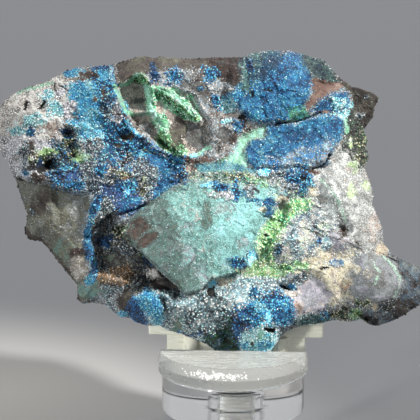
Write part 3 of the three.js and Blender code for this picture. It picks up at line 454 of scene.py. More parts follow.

# Smaller crusts over them: palette, place and radii in picture units. The black ones are painted
# shade in pits.
SPOTS = [
    ("lace", (46, 97), (7, 6)), ("lace", (56, 109), (7, 10)), ("lace", (33, 121), (12, 7)),
    ("lace", (18, 130), (9, 4)), ("lilac", (61, 93), (5, 7)), ("lilac", (69, 108), (6, 8)),
    ("stain", (139, 223), (9, 8)), ("stain", (151, 236), (8, 5)), ("azure", (31, 132), (6, 5)),
    ("druse", (26, 153), (8, 10)), ("brown", (32, 148), (3, 8)), ("blush", (52, 128), (8, 6)),
    ("gap", (47, 165), (7, 7)), ("moss", (38, 158), (8, 7)), ("navy", (40, 162), (3, 4)),
    ("sprigs", (47, 152), (8, 4)), ("moss", (50, 155), (3, 2)), ("navy", (67, 132), (7, 5)),
    ("moss", (69, 142), (7, 5)), ("cyan", (69, 138), (4, 1.5)), ("cyan", (78, 95), (8, 7)),
    ("cyan", (71, 72), (9, 4)), ("brown", (88, 76), (10, 6)), ("olive", (73, 79), (7, 3)),
    ("navy", (101, 69), (9, 3)), ("cyan", (104, 75), (6, 5)), ("brown", (94, 100), (3, 3)),
    ("brown", (104, 103), (3, 3)), ("moss", (77, 155), (8, 7)), ("sprigs", (82, 158), (9, 5)),
    ("gap", (75, 155), (3, 3)), ("azure", (104, 152), (6, 12)), ("azure", (26, 172), (4, 3)),
    ("dark", (35, 168), (11, 3)), ("gap", (44, 170), (7, 4)), ("gap", (20, 179), (3, 2)),
    ("brown", (38, 177), (9, 5)), ("azure", (58, 178), (8, 8)), ("azure", (73, 187), (9, 5)),
    ("indigo", (72, 175), (10, 5)), ("cyan", (65, 167), (5, 3)), ("azure", (102, 170), (7, 6)),
    ("bark", (42, 200), (10, 12)), ("druse", (32, 213), (2, 4)), ("sage", (62, 250), (12, 8)),
    # The brown spot at (80, 253) is a painted shadow.
    ("pale_olive", (78, 268), (8, 11)), ("brown", (80, 253), (8, 4)), ("sage", (92, 292), (13, 9)),
    ("dark", (95, 300), (5, 3)), ("azure", (126, 186), (9, 7)), ("cyan", (134, 185), (3, 6)),
    ("ice", (127, 193), (4, 4)), ("deep", (131, 204), (9, 8)), ("cyan", (136, 199), (6, 2)),
    ("speckle", (121, 173), (9, 4)), ("tan", (127, 177), (4, 2)), ("speckle", (143, 186), (6, 8)),
    ("azure", (116, 158), (9, 9)), ("druse", (129, 154), (3, 3)), ("cyan", (141, 153), (9, 3)),
    ("deep", (155, 160), (6, 5)), ("azure", (172, 165), (9, 6)), ("blush", (189, 168), (3, 3)),
    ("mixed", (180, 177), (9, 6)), ("navy", (176, 182), (5, 3)), ("navy", (153, 74), (5, 8)),
    ("lilac", (119, 114), (4, 8)), ("brown", (127, 137), (7, 4)), ("floor", (140, 100), (6, 4)),
    # The bark spot at (178, 130) is painted shade on the slope right of the long rib.
    ("bark", (178, 130), (8, 16)), ("matrix", (146, 128), (7, 9)), ("bark", (118, 146), (5, 3)),
    ("cyan", (125, 108), (5, 6)), ("ice", (194, 155), (6, 2)), ("azure", (201, 88), (2, 2)),
    ("azure", (216, 102), (7, 8)), ("cyan", (232, 98), (9, 7)), ("lace", (227, 106), (8, 6)),
    ("blush", (232, 115), (9, 2.5)), ("gap", (242, 117), (3, 3)), ("lace", (228, 121), (5, 2.5)),
    ("azure", (238, 127), (6, 6)), ("brown", (233, 139), (5, 6)), ("floor", (222, 136), (8, 10)),
    ("gap", (252, 95), (2, 5)), ("gap", (268, 90), (5, 2)), ("cyan", (256, 115), (8, 4)),
    ("navy", (250, 66), (4, 6)), ("matrix", (253, 127), (8, 3)), ("lace", (340, 104), (9, 7)),
    ("lace", (344, 116), (5, 5)), ("salmon", (325, 112), (6, 2)), ("mint", (288, 121), (8, 1.5)),
    ("druse", (361, 115), (5, 3)), ("druse", (367, 98), (2, 3)), ("navy", (257, 168), (4, 2)),
    ("ice", (262, 171), (8, 3)), ("azure", (291, 177), (9, 5)), ("gap", (303, 178), (3, 3)),
    ("cream", (283, 200), (8, 5)), ("brown", (314, 171), (6, 2.5)), ("cream", (313, 192), (6, 4)),
    ("frost", (330, 226), (7, 4)), ("druse", (314, 228), (8, 6)), ("facet", (339, 241), (10, 9)),
    ("hoar", (326, 244), (3.5, 8)), ("navy", (320, 241), (2, 3)), ("brown", (343, 230), (4, 6)),
    ("lavender", (335, 263), (9, 4)), ("gap", (325, 269), (6, 2.5)), ("blush", (374, 230), (5, 12)),
    ("buff", (382, 250), (7, 8)), ("moss", (360, 158), (7, 6)), ("lichen", (353, 167), (4, 6)),
    # The chalk spot at (333, 206) is pale crust with painted light on a slope turned from the key.
    ("lichen", (366, 187), (5, 5)), ("lichen", (352, 192), (4, 8)), ("chalk", (333, 206), (9, 17)),
    ("moss", (360, 141), (5, 12)), ("mint", (346, 127), (2.5, 7)), ("lichen", (350, 142), (2, 5)),
    ("hoar", (291, 240), (8, 7)), ("hoar", (296, 251), (7, 6)), ("mixed", (279, 250), (4, 5)),
    ("green", (284, 268), (5, 4)), ("lime", (297, 265), (12, 4)), ("lime", (250, 266), (11, 4)),
    ("gap", (266, 236), (2, 3)), ("cyan", (262, 308), (9, 7)), ("azure", (249, 320), (6, 5)),
    ("cream", (324, 275), (14, 5)), ("cream", (355, 268), (5, 6)), ("cream", (367, 274), (5, 3)),
    ("buff", (346, 284), (7, 6)), ("gap", (337, 313), (5, 3)), ("gap", (345, 308), (4, 3)),
    ("moss", (343, 314), (10, 5)), ("lime", (355, 314), (5, 6)), ("buff", (376, 307), (5, 4)),
    ("speckle", (364, 304), (8, 4)), ("gloom", (388, 305), (8, 7)), ("gap", (372, 321), (7, 4)),
    ("bark", (403, 309), (9, 7)), ("azure", (292, 286), (4, 4)), ("slate", (302, 277), (7, 5)),
    ("beige", (290, 294), (8, 4)), ("blush", (298, 308), (4, 8)), ("azure", (325, 315), (5, 4)),
    ("gap", (213, 292), (5, 5)), ("cream", (225, 282), (9, 4)), ("ice", (212, 284), (4, 4)),
    ("hoar", (182, 300), (10, 7)), ("sage", (177, 326), (7, 7)), ("cyan", (282, 304), (8, 6)),
    ("ice", (269, 318), (4, 8)), ("deep", (286, 316), (8, 6)), ("mint", (261, 333), (4, 5)),
    ("rust", (252, 344), (3, 2)), ("cyan", (265, 345), (7, 6)), ("cyan", (243, 347), (5, 5)),
    ("gap", (269, 330), (4, 3)), ("beige", (154, 273), (8, 5)), ("druse", (98, 147), (7, 8)),
    ("slate", (127, 160), (9, 6)), ("slate", (112, 178), (7, 5)), ("mixed", (106, 99), (6, 13)),
    # The grit spots in the recess left of the teal plate are painted light on its blue-grey, olive crust.
    ("slate", (109, 116), (5, 7)), ("brown", (103, 94), (3, 5)), ("grit", (106, 224), (13, 9)),
    ("grit", (101, 256), (8, 12)), ("grit", (124, 247), (10, 8)), ("navy", (104, 240), (7, 7)),
    ("moss", (122, 232), (10, 6)), ("moss", (142, 248), (6, 5)), ("sage", (112, 258), (7, 4)),
    ("navy", (149, 258), (4, 8)), ("cyan", (121, 314), (5, 4)), ("cyan", (96, 206), (5, 6)),
    ("lilac", (224, 194), (12, 6)), ("azure", (220, 186), (8, 4)), ("azure", (236, 192), (4, 9)),
    ("cyan", (243, 193), (3, 5)), ("druse", (249, 191), (7, 6)), ("ice", (206, 186), (6, 2.5)),
    ("pearl", (222, 209), (11, 9)), ("pearl", (189, 227), (6, 5)), ("pearl", (190, 252), (6, 9)),
    ("pearl", (201, 276), (5, 13)), ("turquoise", (233, 238), (8, 7)),
    ("pearl", (242, 243), (5, 6)), ("dim_teal", (206, 216), (5, 12)), ("deep", (267, 201), (10, 4)),
    ("deep", (270, 210), (5, 6)), ("cream", (264, 209), (4, 3)), ("azure", (237, 258), (7, 4)),
    ("ice", (251, 256), (6, 6)), ("azure", (256, 292), (6, 4)),
]

# Veins and ribs of colour: palette, width in picture units and path. The black ones are painted shade
# along crevices and pits.
VEINS = [
    ("azure", 6, [(100, 198), (94, 208), (90, 224)]),
    ("deep", 8, [(89, 230), (87.5, 244), (90.5, 257)]),
    ("azure", 6.5, [(92, 257), (93.5, 270), (91, 280)]),
    ("cyan", 7, [(90, 279), (89, 281)]),
    ("bark", 4, [(27, 228), (29, 238), (42, 240), (52, 252), (64, 266), (74, 280), (78, 300)]),
    ("mint", 1.5, [(18, 93), (36, 87), (52, 83)]),
    ("mint", 4, [(114, 86), (118, 94), (122, 104), (126, 111), (133, 114)]),
    ("mint", 1.6, [(133, 114), (141, 114), (148, 112)]),
    ("ice", 2.4, [(124, 119), (132, 129), (140, 136)]),
    ("mint", 2.4, [(122, 86), (130, 81), (138, 75)]),
    ("mint", 3.5, [(199, 154), (204, 150), (210, 148)]),
    ("vein", 5, [(183, 102), (191, 97)]),
    # Pale mint on the long rib, with painted light on its shaded upper left side.
    ("mint", 3.4, [(147, 86), (150, 99), (151, 108), (158, 117), (163, 127)]),
    ("green", 3, [(160, 94), (174, 101), (187, 112), (197, 120)]),
    ("gap", 0.9, [(164, 97), (170, 103), (178, 107)]),
    ("gap", 0.8, [(176, 112), (184, 115), (190, 119)]),
    # Painted light on the long rib's shaded upper left side, over its pale mint crust.
    ("net", 3.2, [(146, 86), (149, 98), (151, 108), (156, 116)]),
    ("thread", 0.9, [(168, 92), (176, 101), (186, 107), (193, 115)]),
    ("mint", 1.3, [(160, 89), (173, 95), (184, 105), (195, 115)]),
    ("mint", 1.4, [(192, 98), (197, 104), (197, 110)]),
    ("mint", 1.4, [(162, 103), (166, 106), (163, 112)]),
    ("beige", 1.5, [(145, 150), (156, 153), (167, 157)]),
    ("gap", 1, [(125, 128), (134, 137)]),
    ("gap", 1.2, [(140, 147), (155, 153), (180, 157), (190, 158)]),
    ("gap", 1, [(276, 124), (291, 123), (307, 119), (318, 114)]),
    ("gap", 1.4, [(313, 169), (322, 166), (329, 155)]),
    ("gap", 1.5, [(92, 231), (102, 221), (112, 213), (118, 208)]),
    ("gap", 1.5, [(136, 212), (148, 204), (160, 197)]),
    # A painted shadow under the teal plate's overhanging lower left edge.
    ("gap", 4, [(152, 256), (166, 268), (182, 282), (190, 292)]),
    ("gap", 2.5, [(127, 150), (129, 158), (122, 166)]),
    ("gap", 1.5, [(132, 184), (131, 190), (134, 196)]),
    ("gap", 2, [(92, 229), (98, 225)]),
    ("azure", 2, [(248, 200), (258, 199)]),
    ("gap", 1.5, [(249, 251), (247, 258)]),
    ("gap", 3, [(254, 189), (258, 192)]),
    ("thread", 1.4, [(318, 176), (330, 190), (340, 206), (346, 222)]),
    ("thread", 0.9, [(384, 257), (393, 265), (399, 278), (399, 288), (393, 297)]),
    ("thread", 0.6, [(373, 260), (379, 272), (375, 285)]),
    ("brown", 1, [(356, 242), (358, 247), (363, 252)]),
    ("cream", 3, [(327, 278), (333, 286), (338, 298)]),
    ("gap", 3.5, [(27, 102), (25, 109)]),
    ("gap", 3.5, [(45, 102), (40, 109)]),
    ("gap", 2.5, [(55, 86), (56, 93)]),
    ("gap", 2, [(61, 87), (66, 90)]),
    ("gap", 3, [(281, 285), (290, 289)]),
    ("gap", 3, [(265, 329), (275, 330)]),
    ("navy", 2, [(200, 332), (190, 336), (178, 332)]),
]

# Random-looking numbers: steps for a grid's columns and rows and for the seed, and a large multiple.
CHANCE_STEPS = (127.1, 311.7, 74.7)
CHANCE_SCALE = 43758.5453

# A wander gives its amount in picture units, the size of its steps in millimetres and its seed. The
# finer steps in it are a fixed part of the others.
WANDER_SIZE, WANDER_SEED, WANDER_FINE = 2.6, 31, 0.4

# Edges of the crusts: how far past its outline a patch is looked for, in edges and picture units,
# how far a spot is looked for in radii, and how much further than its width a vein reaches. The
# wanders make edges ragged. A random blur, of this spread, scatters the grains of two crusts.
PATCH_REACH, PATCH_MARGIN, PATCH_SCATTER = 2, 3, 0.6
SPOT_WANDER, SPOT_EDGE, SPOT_REACH, SPOT_SCATTER = (1, 1.2, 51), 0.6, 1.6, 0.18
VEIN_WANDER, VEIN_MARGIN, VEIN_SCATTER = (1.2, 1.4, 61), 0.3, 0.6
BLUR = 0.8

# The back: how far the face's crusts run round the rim, with the rise, size and seed of the facets
# that make their edge ragged, and the zones of rock as palette, size, seed and level.
CRUST_WRAP = 1.4
WRAP_RISE, WRAP_SIZE, WRAP_SEED, WRAP_SCATTER = 1.5, 3, 99, 0.3
ROCK_ZONES = [("red_rock", 9, 95, 0.2), ("sage", 4, 97, 0.65)]
ZONE_SCATTER = 0.1

# Knobs of the crusts: their strength and wander, the size, rise and seed of each layer, and the part
# of a grid cell that their middles keep from its edge.
GRIT = 1.5
GRIT_WANDER = (2.0, 1.1, 91)
GRIT_KNOBS = [(1.5, 0.8, 9), (0.8, 0.7, 3)]
KNOB_MARGIN = 0.15

# Threads: the wander and size of their net with its seed, their width and softness, and how much
# higher and lighter they are.
THREAD_WANDER = (2.0, 0.9, 83)
THREAD_NET, THREAD_SEED, THREAD_WIDTH, THREAD_EDGE = 1.6, 81, 0.14, 1.6
THREAD_HEIGHT, THREAD_LIGHT = 1.0, 0.15

# Blotches of colour: size, rise and seed, and their strength. A part of the unevenness is random at
# each place of the stone, at each grain and at each grain of the back.
BLOTCHES = [(1.7, 0.6, 71), (0.8, 0.7, 73)]
BLOTCH_GAIN = 0.56
STONE_RANDOM, GRAIN_RANDOM, BACK_RANDOM = 0.2, 0.82, 0.5

# How far a palette's minerals spread on a smooth crust, and how much more for each millimetre of
# its knobs. Painted shade darkens the stone in the gaps between high knobs, up to a limit.
SMOOTH_SPREAD, SPREAD_GROWTH = 0.65, 2.2
GAP_PAINTED_SHADE, DARKEST_PAINTED_SHADE = 3.4, 0.85

# Grains: samples on the face and back, the size on the back in millimetres, radii as parts of that
# size, how deep they sit, and how many go into one mesh.
SEED = 41
FACE_SAMPLES, BACK_SAMPLES = 400_000, 60_000
BACK_GRAIN = 0.6
GRAIN_SPREAD, BACK_SPREAD = (0.36, 0.6), (0.3, 0.6)
SUNK = 0.25
PIECE_GRAINS = 24_000

# Steps that keep the numbers of different cubes apart.
CELL_KEY, SIZE_KEY, SIZE_STEP = 100_003, 7, 1e-9

# The tilt of the grains, how uneven their lightness is, and the painted shade and highlight at each
# corner, the four round the middle first and then the top and the bottom: painted shade low down
# and a painted highlight on the top.
GRAIN_TILT, BACK_TILT = 0.5, 0.6
GRAIN_LIGHTNESS = 0.33
PAINTED_GRAIN_SHADING = np.array([0.36, 0.36, 0.36, 0.36, 1.6, 0.2])
SHADE_SPREAD = (0.85, 1.15)

# A grain is an eight-sided crystal and a needle a four-sided point, both along +Z.
GRAIN = (
    np.array([(1, 0, 0), (0, 1, 0), (-1, 0, 0), (0, -1, 0), (0, 0, 1), (0, 0, -1)], float),
    np.array([(0, 1, 4), (1, 2, 4), (2, 3, 4), (3, 0, 4), (1, 0, 5), (2, 1, 5), (3, 2, 5), (0, 3, 5)]),
)
NEEDLE = (
    np.array([(1, 0, -1), (0, 1, -1), (-1, 0, -1), (0, -1, -1), (0, 0, 1)], float),
    np.array([(0, 1, 4), (1, 2, 4), (2, 3, 4), (3, 0, 4), (2, 1, 0), (3, 2, 0)]),
)
NEEDLE_SCALE = np.array([0.45, 0.45, 2.4])

# Mineral surfaces: scale of the unevenness, roughness, strength of the relief, and the coat.
SURFACES = {
    "Ore": (1500, 0.65, 0.5, 0),
    "Pale druse": (4000, 0.4, 0.2, 0.1),
    "Cornetite": (4000, 0.35, 0.2, 0.15),
    "Teal crust": (4000, 0.5, 0.3, 0.05),
    "Green crust": (4000, 0.4, 0.2, 0.1),
    # White flakes on the jaw's slope: painted highlights for its glints.
    "Glint flakes": (3000, 0.25, 0.2, 0.3),
}

# Acrylic: colour, roughness, the part of the light that goes through, and depth of the saw marks.
ACRYLICS = {
    "Clear acrylic": ((0.88, 0.88, 0.87), 0.08, 0.97, 0),
    "Milky acrylic": ((0.92, 0.91, 0.78), 0.35, 0.1, 0.05),
    "Worn acrylic": ((0.96, 0.97, 0.94), 0.14, 0.7, 0.2),
    "Sawn acrylic": ((0.93, 0.94, 0.91), 0.16, 0.6, 0.6),
    "Threaded acrylic": ((1.0, 1.0, 0.98), 0.2, 0.0, 0.3),
    "Hazy acrylic": ((0.93, 0.94, 0.92), 0.3, 0.35, 0),
}
ACRYLIC_IOR = 1.49

# How fine the saw marks are along X, Y and Z.
SAW_SCALE = (200, 1400, 1400)

# The deepest relief of a mineral and of saw marks in millimetres, how much rougher a mineral's cells
# can be, the coat's roughness, and the least and greatest roughness of saw marks as parts of the
# plain one.
MINERAL_RELIEF, SAW_RELIEF = 0.15, 0.2
CELL_ROUGHNESS, COAT_ROUGHNESS = 0.3, 0.08
SAW_SMOOTHEST, SAW_ROUGHEST = 0.3, 2.5

# The stand's sizes in millimetres, which the panel shows: label, description and default.
STAND_SIZES = {
    "jaw_radius": ("Jaw radius", "Radius of the front jaw", 12.5),
    "jaw_thickness": ("Jaw thickness", "Thickness of the front jaw", 2.9),
    "jaw_slope": ("Jaw slope", "Height of the sloping rim", 1.3),
    "jaw_slope_front": ("Slope in front", "Depth of the slope in front", 2.2),
    "jaw_slope_side": ("Slope at the sides", "Its width at the sides", 0.3),
    "slot": ("Slot", "Gap between the jaws", 8.2),
    "block_radius": ("Block radius", "Radius of the clear block", 11.85),
    "block_height": ("Block height", "Height of the clear block", 6.9),
    "rear_depth": ("Rear jaw depth", "Depth of the rear jaw", 4.0),
    "rear_rise": ("Rear rise", "Crossbar's top over the front jaw", 2.4),
    "bar_length": ("Crossbar length", "Length of the crossbar", 30.0),
    "bar_height": ("Crossbar height", "Height of the crossbar", 2.2),
    "bar_proud": ("Crossbar step", "How proud the crossbar stands", 0.3),
    "rib_radius": ("Rib radius", "Radius of the rear jaw's ribs", 1.3),
    "rib_spacing": ("Rib spacing", "Spacing of the ribs", 15.2),
    "post_radius": ("Post radius", "Radius of the threaded post", 2.1),
    "post_clearance": ("Post clearance", "Gap round the post", 0.4),
    "post_engagement": ("Post engagement", "Depth of the block's hole", 2.8),
    "thread_pitch": ("Thread pitch", "Pitch of the post's thread", 0.7),
    "thread_depth": ("Thread depth", "Depth of the post's thread", 0.25),
    "foot_radius": ("Foot radius", "Radius of the foot", 16.0),
    "foot_height": ("Foot height", "Height of the foot", 2.6),
    "foot_chamfer": ("Foot chamfer", "Chamfer round the foot", 0.8),
}

# How far the hard edges of each stand piece are softened in millimetres, in how many steps, and from
# what angle in degrees.
SOFTENED = {
    "front_jaw": 0.12, "clear_block": 0.5, "rear_jaw": 0.1, "crossbar": 0.35, "post": 0.05, "foot": 0.15,
}
SOFTENED_STEPS, SOFTENED_FROM = 3, 50

# Smaller values of the stand in millimetres: the sawn film on the jaw, the rings of the rear jaw and
# the plain ends of the post. The steps are how many points go round a piece.
FILM_INSET, FILM_BOTTOM, FILM_TOP = 0.3, 0.01, 0.06
RING_DEPTH, RING_LEVELS = 0.12, 25
THREAD_START, THREAD_END, POST_SHOULDER, POST_TIP, POST_TIP_NARROWER = 1, 0.5, 0.9, 0.4, 0.3
JAW_STEPS, RIB_STEPS, POST_STEPS, FOOT_STEPS = 121, 25, 96, 160
BLOCK_STEPS = (24, 24, 24, 97)

# White flakes on the front jaw's slope, painted highlights for the glints of light along it: how
# many, the middle, spread and ends of their row in degrees round the jaw, how far down the slope
# they lie as a part of it, waves in that as height and number round the jaw, its scatter and ends,
# the way that they face, their radii and how flat they are.
GLINT_FLAKES = 260
GLINT_ANGLE, GLINT_SPREAD, GLINT_ENDS = 260, 11, (232, 292)
GLINT_DOWN, GLINT_SCATTER, GLINT_DOWN_ENDS = 0.62, 0.13, (0.15, 0.98)
GLINT_WAVES = [(0.1, 23), (0.08, 61)]
GLINT_NORMAL, GLINT_TILT = (0, -0.5, 0.86), 0.2
GLINT_RADII, GLINT_FLATNESS = (0.1, 0.32), (1, 1, 0.5)

# The stage: the floor's reach in metres, its colour and roughness, and the light all round.
FLOOR_REACH, FLOOR_COLOUR, FLOOR_ROUGHNESS = 3, (0.4, 0.4, 0.41), 0.7
SKY_COLOUR, SKY_STRENGTH = (0.95, 0.97, 1), 0.6

# Lights: shift of the place that each aims at and offset from there in metres, angle in degrees,
# radius in metres, power in watts, and colour. The blend is how soft a light's edge is.
LIGHTS = {
    "Key": ((0.002, 0, 0.004), (0.257, -0.174, 0.257), 12.5, 0.018, 12.5, (1, 0.96, 0.9)),
    "Low fill": ((0, 0, 0), (-0.24, -0.37, 0.07), 6, 0.03, 8.6, (1, 1, 0.94)),
    "Pool": ((-0.052, 0.036, 0), (-0.15, -0.2, 0.35), 10, 0.03, 3.5, (1, 0.88, 0.62)),
    "Back": ((0, 0, 0.016), (0.12, 0.32, 0.24), 10, 0.02, 3.3, (1, 0.98, 0.95)),
    "Left fill": ((0, 0, 0), (-0.3, -0.25, 0.12), 13, 0.05, 3.0, (0.95, 0.98, 1)),
    "Top": ((0, -0.012, 0), (0, -0.12, 0.46), 5, 0.03, 4.5, (1, 1, 1)),
}
LIGHT_BLEND = 0.7


# The shape of the stone


def smooth(t):
    """3 t^2 - 2 t^3, with t held between 0 and 1."""
    t = np.clip(t, 0, 1)
    return t * t * (3 - 2 * t)


def nearest_on_path(px, py, path):
    """The nearest point of a path to each point, and its distance."""
    found_x, found_y, best = np.zeros_like(px), np.zeros_like(px), np.full(px.shape, np.inf)
    for (ax, ay), (bx, by) in zip(path[:-1], path[1:]):
        length2 = (bx - ax) ** 2 + (by - ay) ** 2
        t = np.clip(((px - ax) * (bx - ax) + (py - ay) * (by - ay)) / length2, 0, 1)
        qx, qy = ax + t * (bx - ax), ay + t * (by - ay)
        distance = np.hypot(px - qx, py - qy)
        nearer = distance < best
        found_x, found_y = np.where(nearer, qx, found_x), np.where(nearer, qy, found_y)
        best = np.where(nearer, distance, best)
    return found_x, found_y, best


def distance_inside(px, py, outline):
    """Distance to a closed outline, positive inside it."""
    inside = np.zeros(px.shape, bool)
    for (ax, ay), (bx, by) in zip(outline[-1:] + outline[:-1], outline):
        if ay != by:
            inside ^= ((ay > py) != (by > py)) & (px < (bx - ax) * (py - ay) / (by - ay) + ax)
    edge = nearest_on_path(px, py, outline + outline[:1])[2]
    return np.where(inside, edge, -edge)


def chance(i, j, seed):
    """A number from 0 to 1 that looks random: the fraction of a large multiple of the sine of a sum of
    the grid place and the seed."""
    column_step, row_step, seed_step = CHANCE_STEPS
    value = np.sin(i * column_step + j * row_step + seed * seed_step) * CHANCE_SCALE
    return value - np.floor(value)


def facets(x, y, size, seed):
    """Flat triangles, size millimetres across, with a random height from -1 to 1 at each corner. The
    height between is the corners' heights weighted by how near each is."""

    def corner(di, dj):
        return 2 * chance(i + di, j + dj, seed) - 1

    a, b = x / size - 0.5 * y / (size * TRIANGLE_HEIGHT), y / (size * TRIANGLE_HEIGHT)
    i, j = np.floor(a), np.floor(b)
    fa, fb = a - i, b - j
    low = corner(0, 0) * (1 - fa - fb) + corner(1, 0) * fa + corner(0, 1) * fb
    high = corner(1, 1) * (fa + fb - 1) + corner(1, 0) * (1 - fb) + corner(0, 1) * (1 - fa)
    return np.where(fa + fb < 1, low, high)


def broken(x, y, layers):
    """The sum of several layers of facets, each times its rise."""
    return sum(rise * facets(x, y, size, seed) for size, rise, seed in layers)


def knobs(x, y, size, seed):
    """Round knobs on a jittered grid: 1 - d / size, where d is the distance to the nearest one."""
    a, b = np.floor(x / size), np.floor(y / size)
    free = 1 - 2 * KNOB_MARGIN
    nearest = np.full(x.shape, np.inf)
    for di in (-1, 0, 1):
        for dj in (-1, 0, 1):
            i, j = a + di, b + dj
            cx = (i + KNOB_MARGIN + free * chance(i, j, seed)) * size
            cy = (j + KNOB_MARGIN + free * chance(i, j, seed + 1)) * size
            nearest = np.minimum(nearest, np.hypot(x - cx, y - cy))
    return 1 - nearest / size


def millimetres(px, py):
    """Picture units as millimetres to the right of the slot's middle and up from the jaw."""
    return (px - SLOT_X) * UNIT, (SLOT_Y - py) * UNIT


def ragged(px, py, amount, size=WANDER_SIZE, seed=WANDER_SEED):
    """A picture place moved by about amount, across and down, by facets and finer facets, so that
    straight outlines become broken ones."""
    x, up = millimetres(px, py)

    def wander(start):
        return facets(x, up, size, start) + WANDER_FINE * facets(x, up, size * WANDER_FINE, start + 2)

    return px + amount * wander(seed), py + amount * wander(seed + 5)


def face_out(px, py):
    """How far the face stands out towards the viewer: its slope, lumps, plates, ribs and facets added
    up, with fewer facets where a plate is even."""
    x, up = millimetres(px, py)
    out = FACE_LEVEL + FACE_SLOPE_UP * (up - FACE_SLOPE_FROM)
    for (ax, ay), (rx, ry), rise in LUMPS:
        out = out + rise * smooth(1 - np.hypot((px - ax) / rx, (py - ay) / ry) / LUMP_SKIRT)
    wx, wy = ragged(px, py, PLATE_WANDER)
    even = np.zeros_like(out)
    for outline, rise, edge, plate_even in PLATES:
        weight = smooth(distance_inside(wx, wy, outline) * UNIT / edge + 0.5)
        out = out + rise * weight
        even = np.maximum(even, plate_even * weight)
    for path, width, rise in RIBS:
        out = out + rise * smooth(1 - nearest_on_path(wx, wy, path)[2] / width)
    return out + (1 - even) * (broken(x, up, FACE_FACETS) + broken(x, up, FINE_FACETS))


def back_depth(x, up):
    """How deep the back lies behind the rim: the shallowest of the flat breaks, with facets."""
    breaks = [depth + across * x + rise * (up - BACK_MIDDLE) for depth, across, rise in BACK_BREAKS]
    return np.minimum.reduce(breaks) + broken(x, up, BACK_FACETS) + broken(x, up, FINE_FACETS)


def picture_of(u, v):
    """Where a place on the square, whose border is the outline, falls in the picture. Its ring is the
    larger of u and v, and the picture place is that part of the way out from the stone's middle. Also
    the length of the whole way, and the ring."""
    ring = np.maximum(np.abs(u), np.abs(v))
    sideways = np.abs(u) >= np.abs(v)
    with np.errstate(divide="ignore", invalid="ignore"):
        angle = np.where(sideways, math.pi / 4 * v / u, math.pi / 2 - math.pi / 4 * u / v)
    angle = np.where(ring > 0, angle + math.pi * (np.where(sideways, u, v) < 0), 0)
    dx, dy = np.cos(angle), np.sin(angle)
    far = np.zeros_like(angle)
    for (ax, ay), (bx, by) in zip(OUTLINE[-1:] + OUTLINE[:-1], OUTLINE):
        ex, ey = bx - ax, by - ay
        cross = dx * ey - dy * ex
        cross = np.where(np.abs(cross) < 1e-9, np.inf, cross)
        along = ((ax - CENTRE_X) * ey - (ay - CENTRE_Y) * ex) / cross
        part = ((ax - CENTRE_X) * dy - (ay - CENTRE_Y) * dx) / cross
        far = np.where((part >= 0) & (part <= 1), np.maximum(far, along), far)
    return CENTRE_X + ring * far * dx, CENTRE_Y + ring * far * dy, far, ring


def carried_out(px, py):
    """How far the teal plate's edge overhangs, across and down: most where its outward normal faces
    the way of the overhang, and fading inwards."""
    inside = distance_inside(px, py, TEAL_PLATE) * UNIT
    qx, qy, d = nearest_on_path(px, py, TEAL_PLATE + TEAL_PLATE[:1])
    d = np.maximum(d, 1e-6)
    nx, ny = (qx - px) / d, (qy - py) / d
    facing = np.maximum(0, nx * OVERHANG_TOWARDS[0] + ny * OVERHANG_TOWARDS[1])
    amount = np.where(inside > 0, OVERHANG / UNIT * facing * (1 - smooth(inside / OVERHANG_FADE)), 0)
    return nx * amount, ny * amount


def placed(px, py, out):
    """A picture point that stands out from the plane, in the stone's own frame: nearer the middle of
    the view by the part of the camera's distance that it stands out."""
    nearer = 1 - out / SIGHT_DISTANCE
    across = SIGHT_X - SLOT_X + (px - SIGHT_X) * nearer
    down = SIGHT_Y - SLOT_Y + (py - SIGHT_Y) * nearer
    return np.stack([across * UNIT, -out, -down * UNIT], -1)


def stood(points, lean, turn):
    """Points of the stone's frame, leaned back about the slot, turned and set on the jaw, in metres."""
    turned = points @ np.array(Euler((-lean, 0, turn), "XYZ").to_matrix()).T
    return (turned + np.array([0, JAW_EDGE_Y, JAW_TOP])) * METRE


def stone_grids(lean, turn):
    """The face as a grid of points in metres, the back as one half as fine, and the picture places of
    the face's points."""
    line = np.linspace(-1, 1, FACE_CELLS + 1)
    u, v = np.meshgrid(line, line)
    px, py, far, ring = picture_of(u, v)
    x, up = millimetres(px, py)
    inside = np.maximum(distance_inside(px, py, OUTLINE), 0)
    from_edge = np.where(ring == 1, 0, np.minimum((1 - ring) * far, inside)) * UNIT
    rim = RIM_DEPTH + RIM_WANDER * facets(x, up, RIM_FACET, RIM_SEED) * smooth(up / RIM_CALM)
    calm = smooth(up / SLOT_EDGE_CALM)

    def within(width):
        reach = SLOT_EDGE_WIDTH + (width - SLOT_EDGE_WIDTH) * calm
        return 1 - (1 - np.clip(from_edge / reach, 0, 1)) ** EDGE_ROUNDNESS

    names = patch_names(px, py, np.zeros(px.shape))
    height = np.zeros(px.shape)
    for palette, (_, _, _, _, knob_height, _) in PALETTES.items():
        height[names == palette] = knob_height
    wx, wy = millimetres(*ragged(px, py, *GRIT_WANDER))
    grit = sum(rise * knobs(wx, wy, size, seed) for size, rise, seed in GRIT_KNOBS)
    grit = GRIT * height * (grit + THREAD_HEIGHT * threads(px, py)) * (from_edge > 0)
    out = rim + (face_out(px, py) - rim) * within(EDGE_WIDTH) + grit
    out = np.minimum(out, SLOT_FACE_OUT + np.maximum(0, up - SLOT_FACE_TOP) * SLOT_FACE_GROWTH)
    dx, dy = carried_out(px, py)
    face = stood(placed(px + dx, py + dy, out), lean, turn)
    back = rim - back_depth(x, up) * within(BACK_EDGE_WIDTH) - grit
    back = np.maximum(back, -SLOT_BACK_OUT - np.maximum(0, up - SLOT_BACK_TOP) * SLOT_BACK_GROWTH)
    return face, stood(placed(px, py, back), lean, turn)[::2, ::2], px, py


# The crusts and their colours


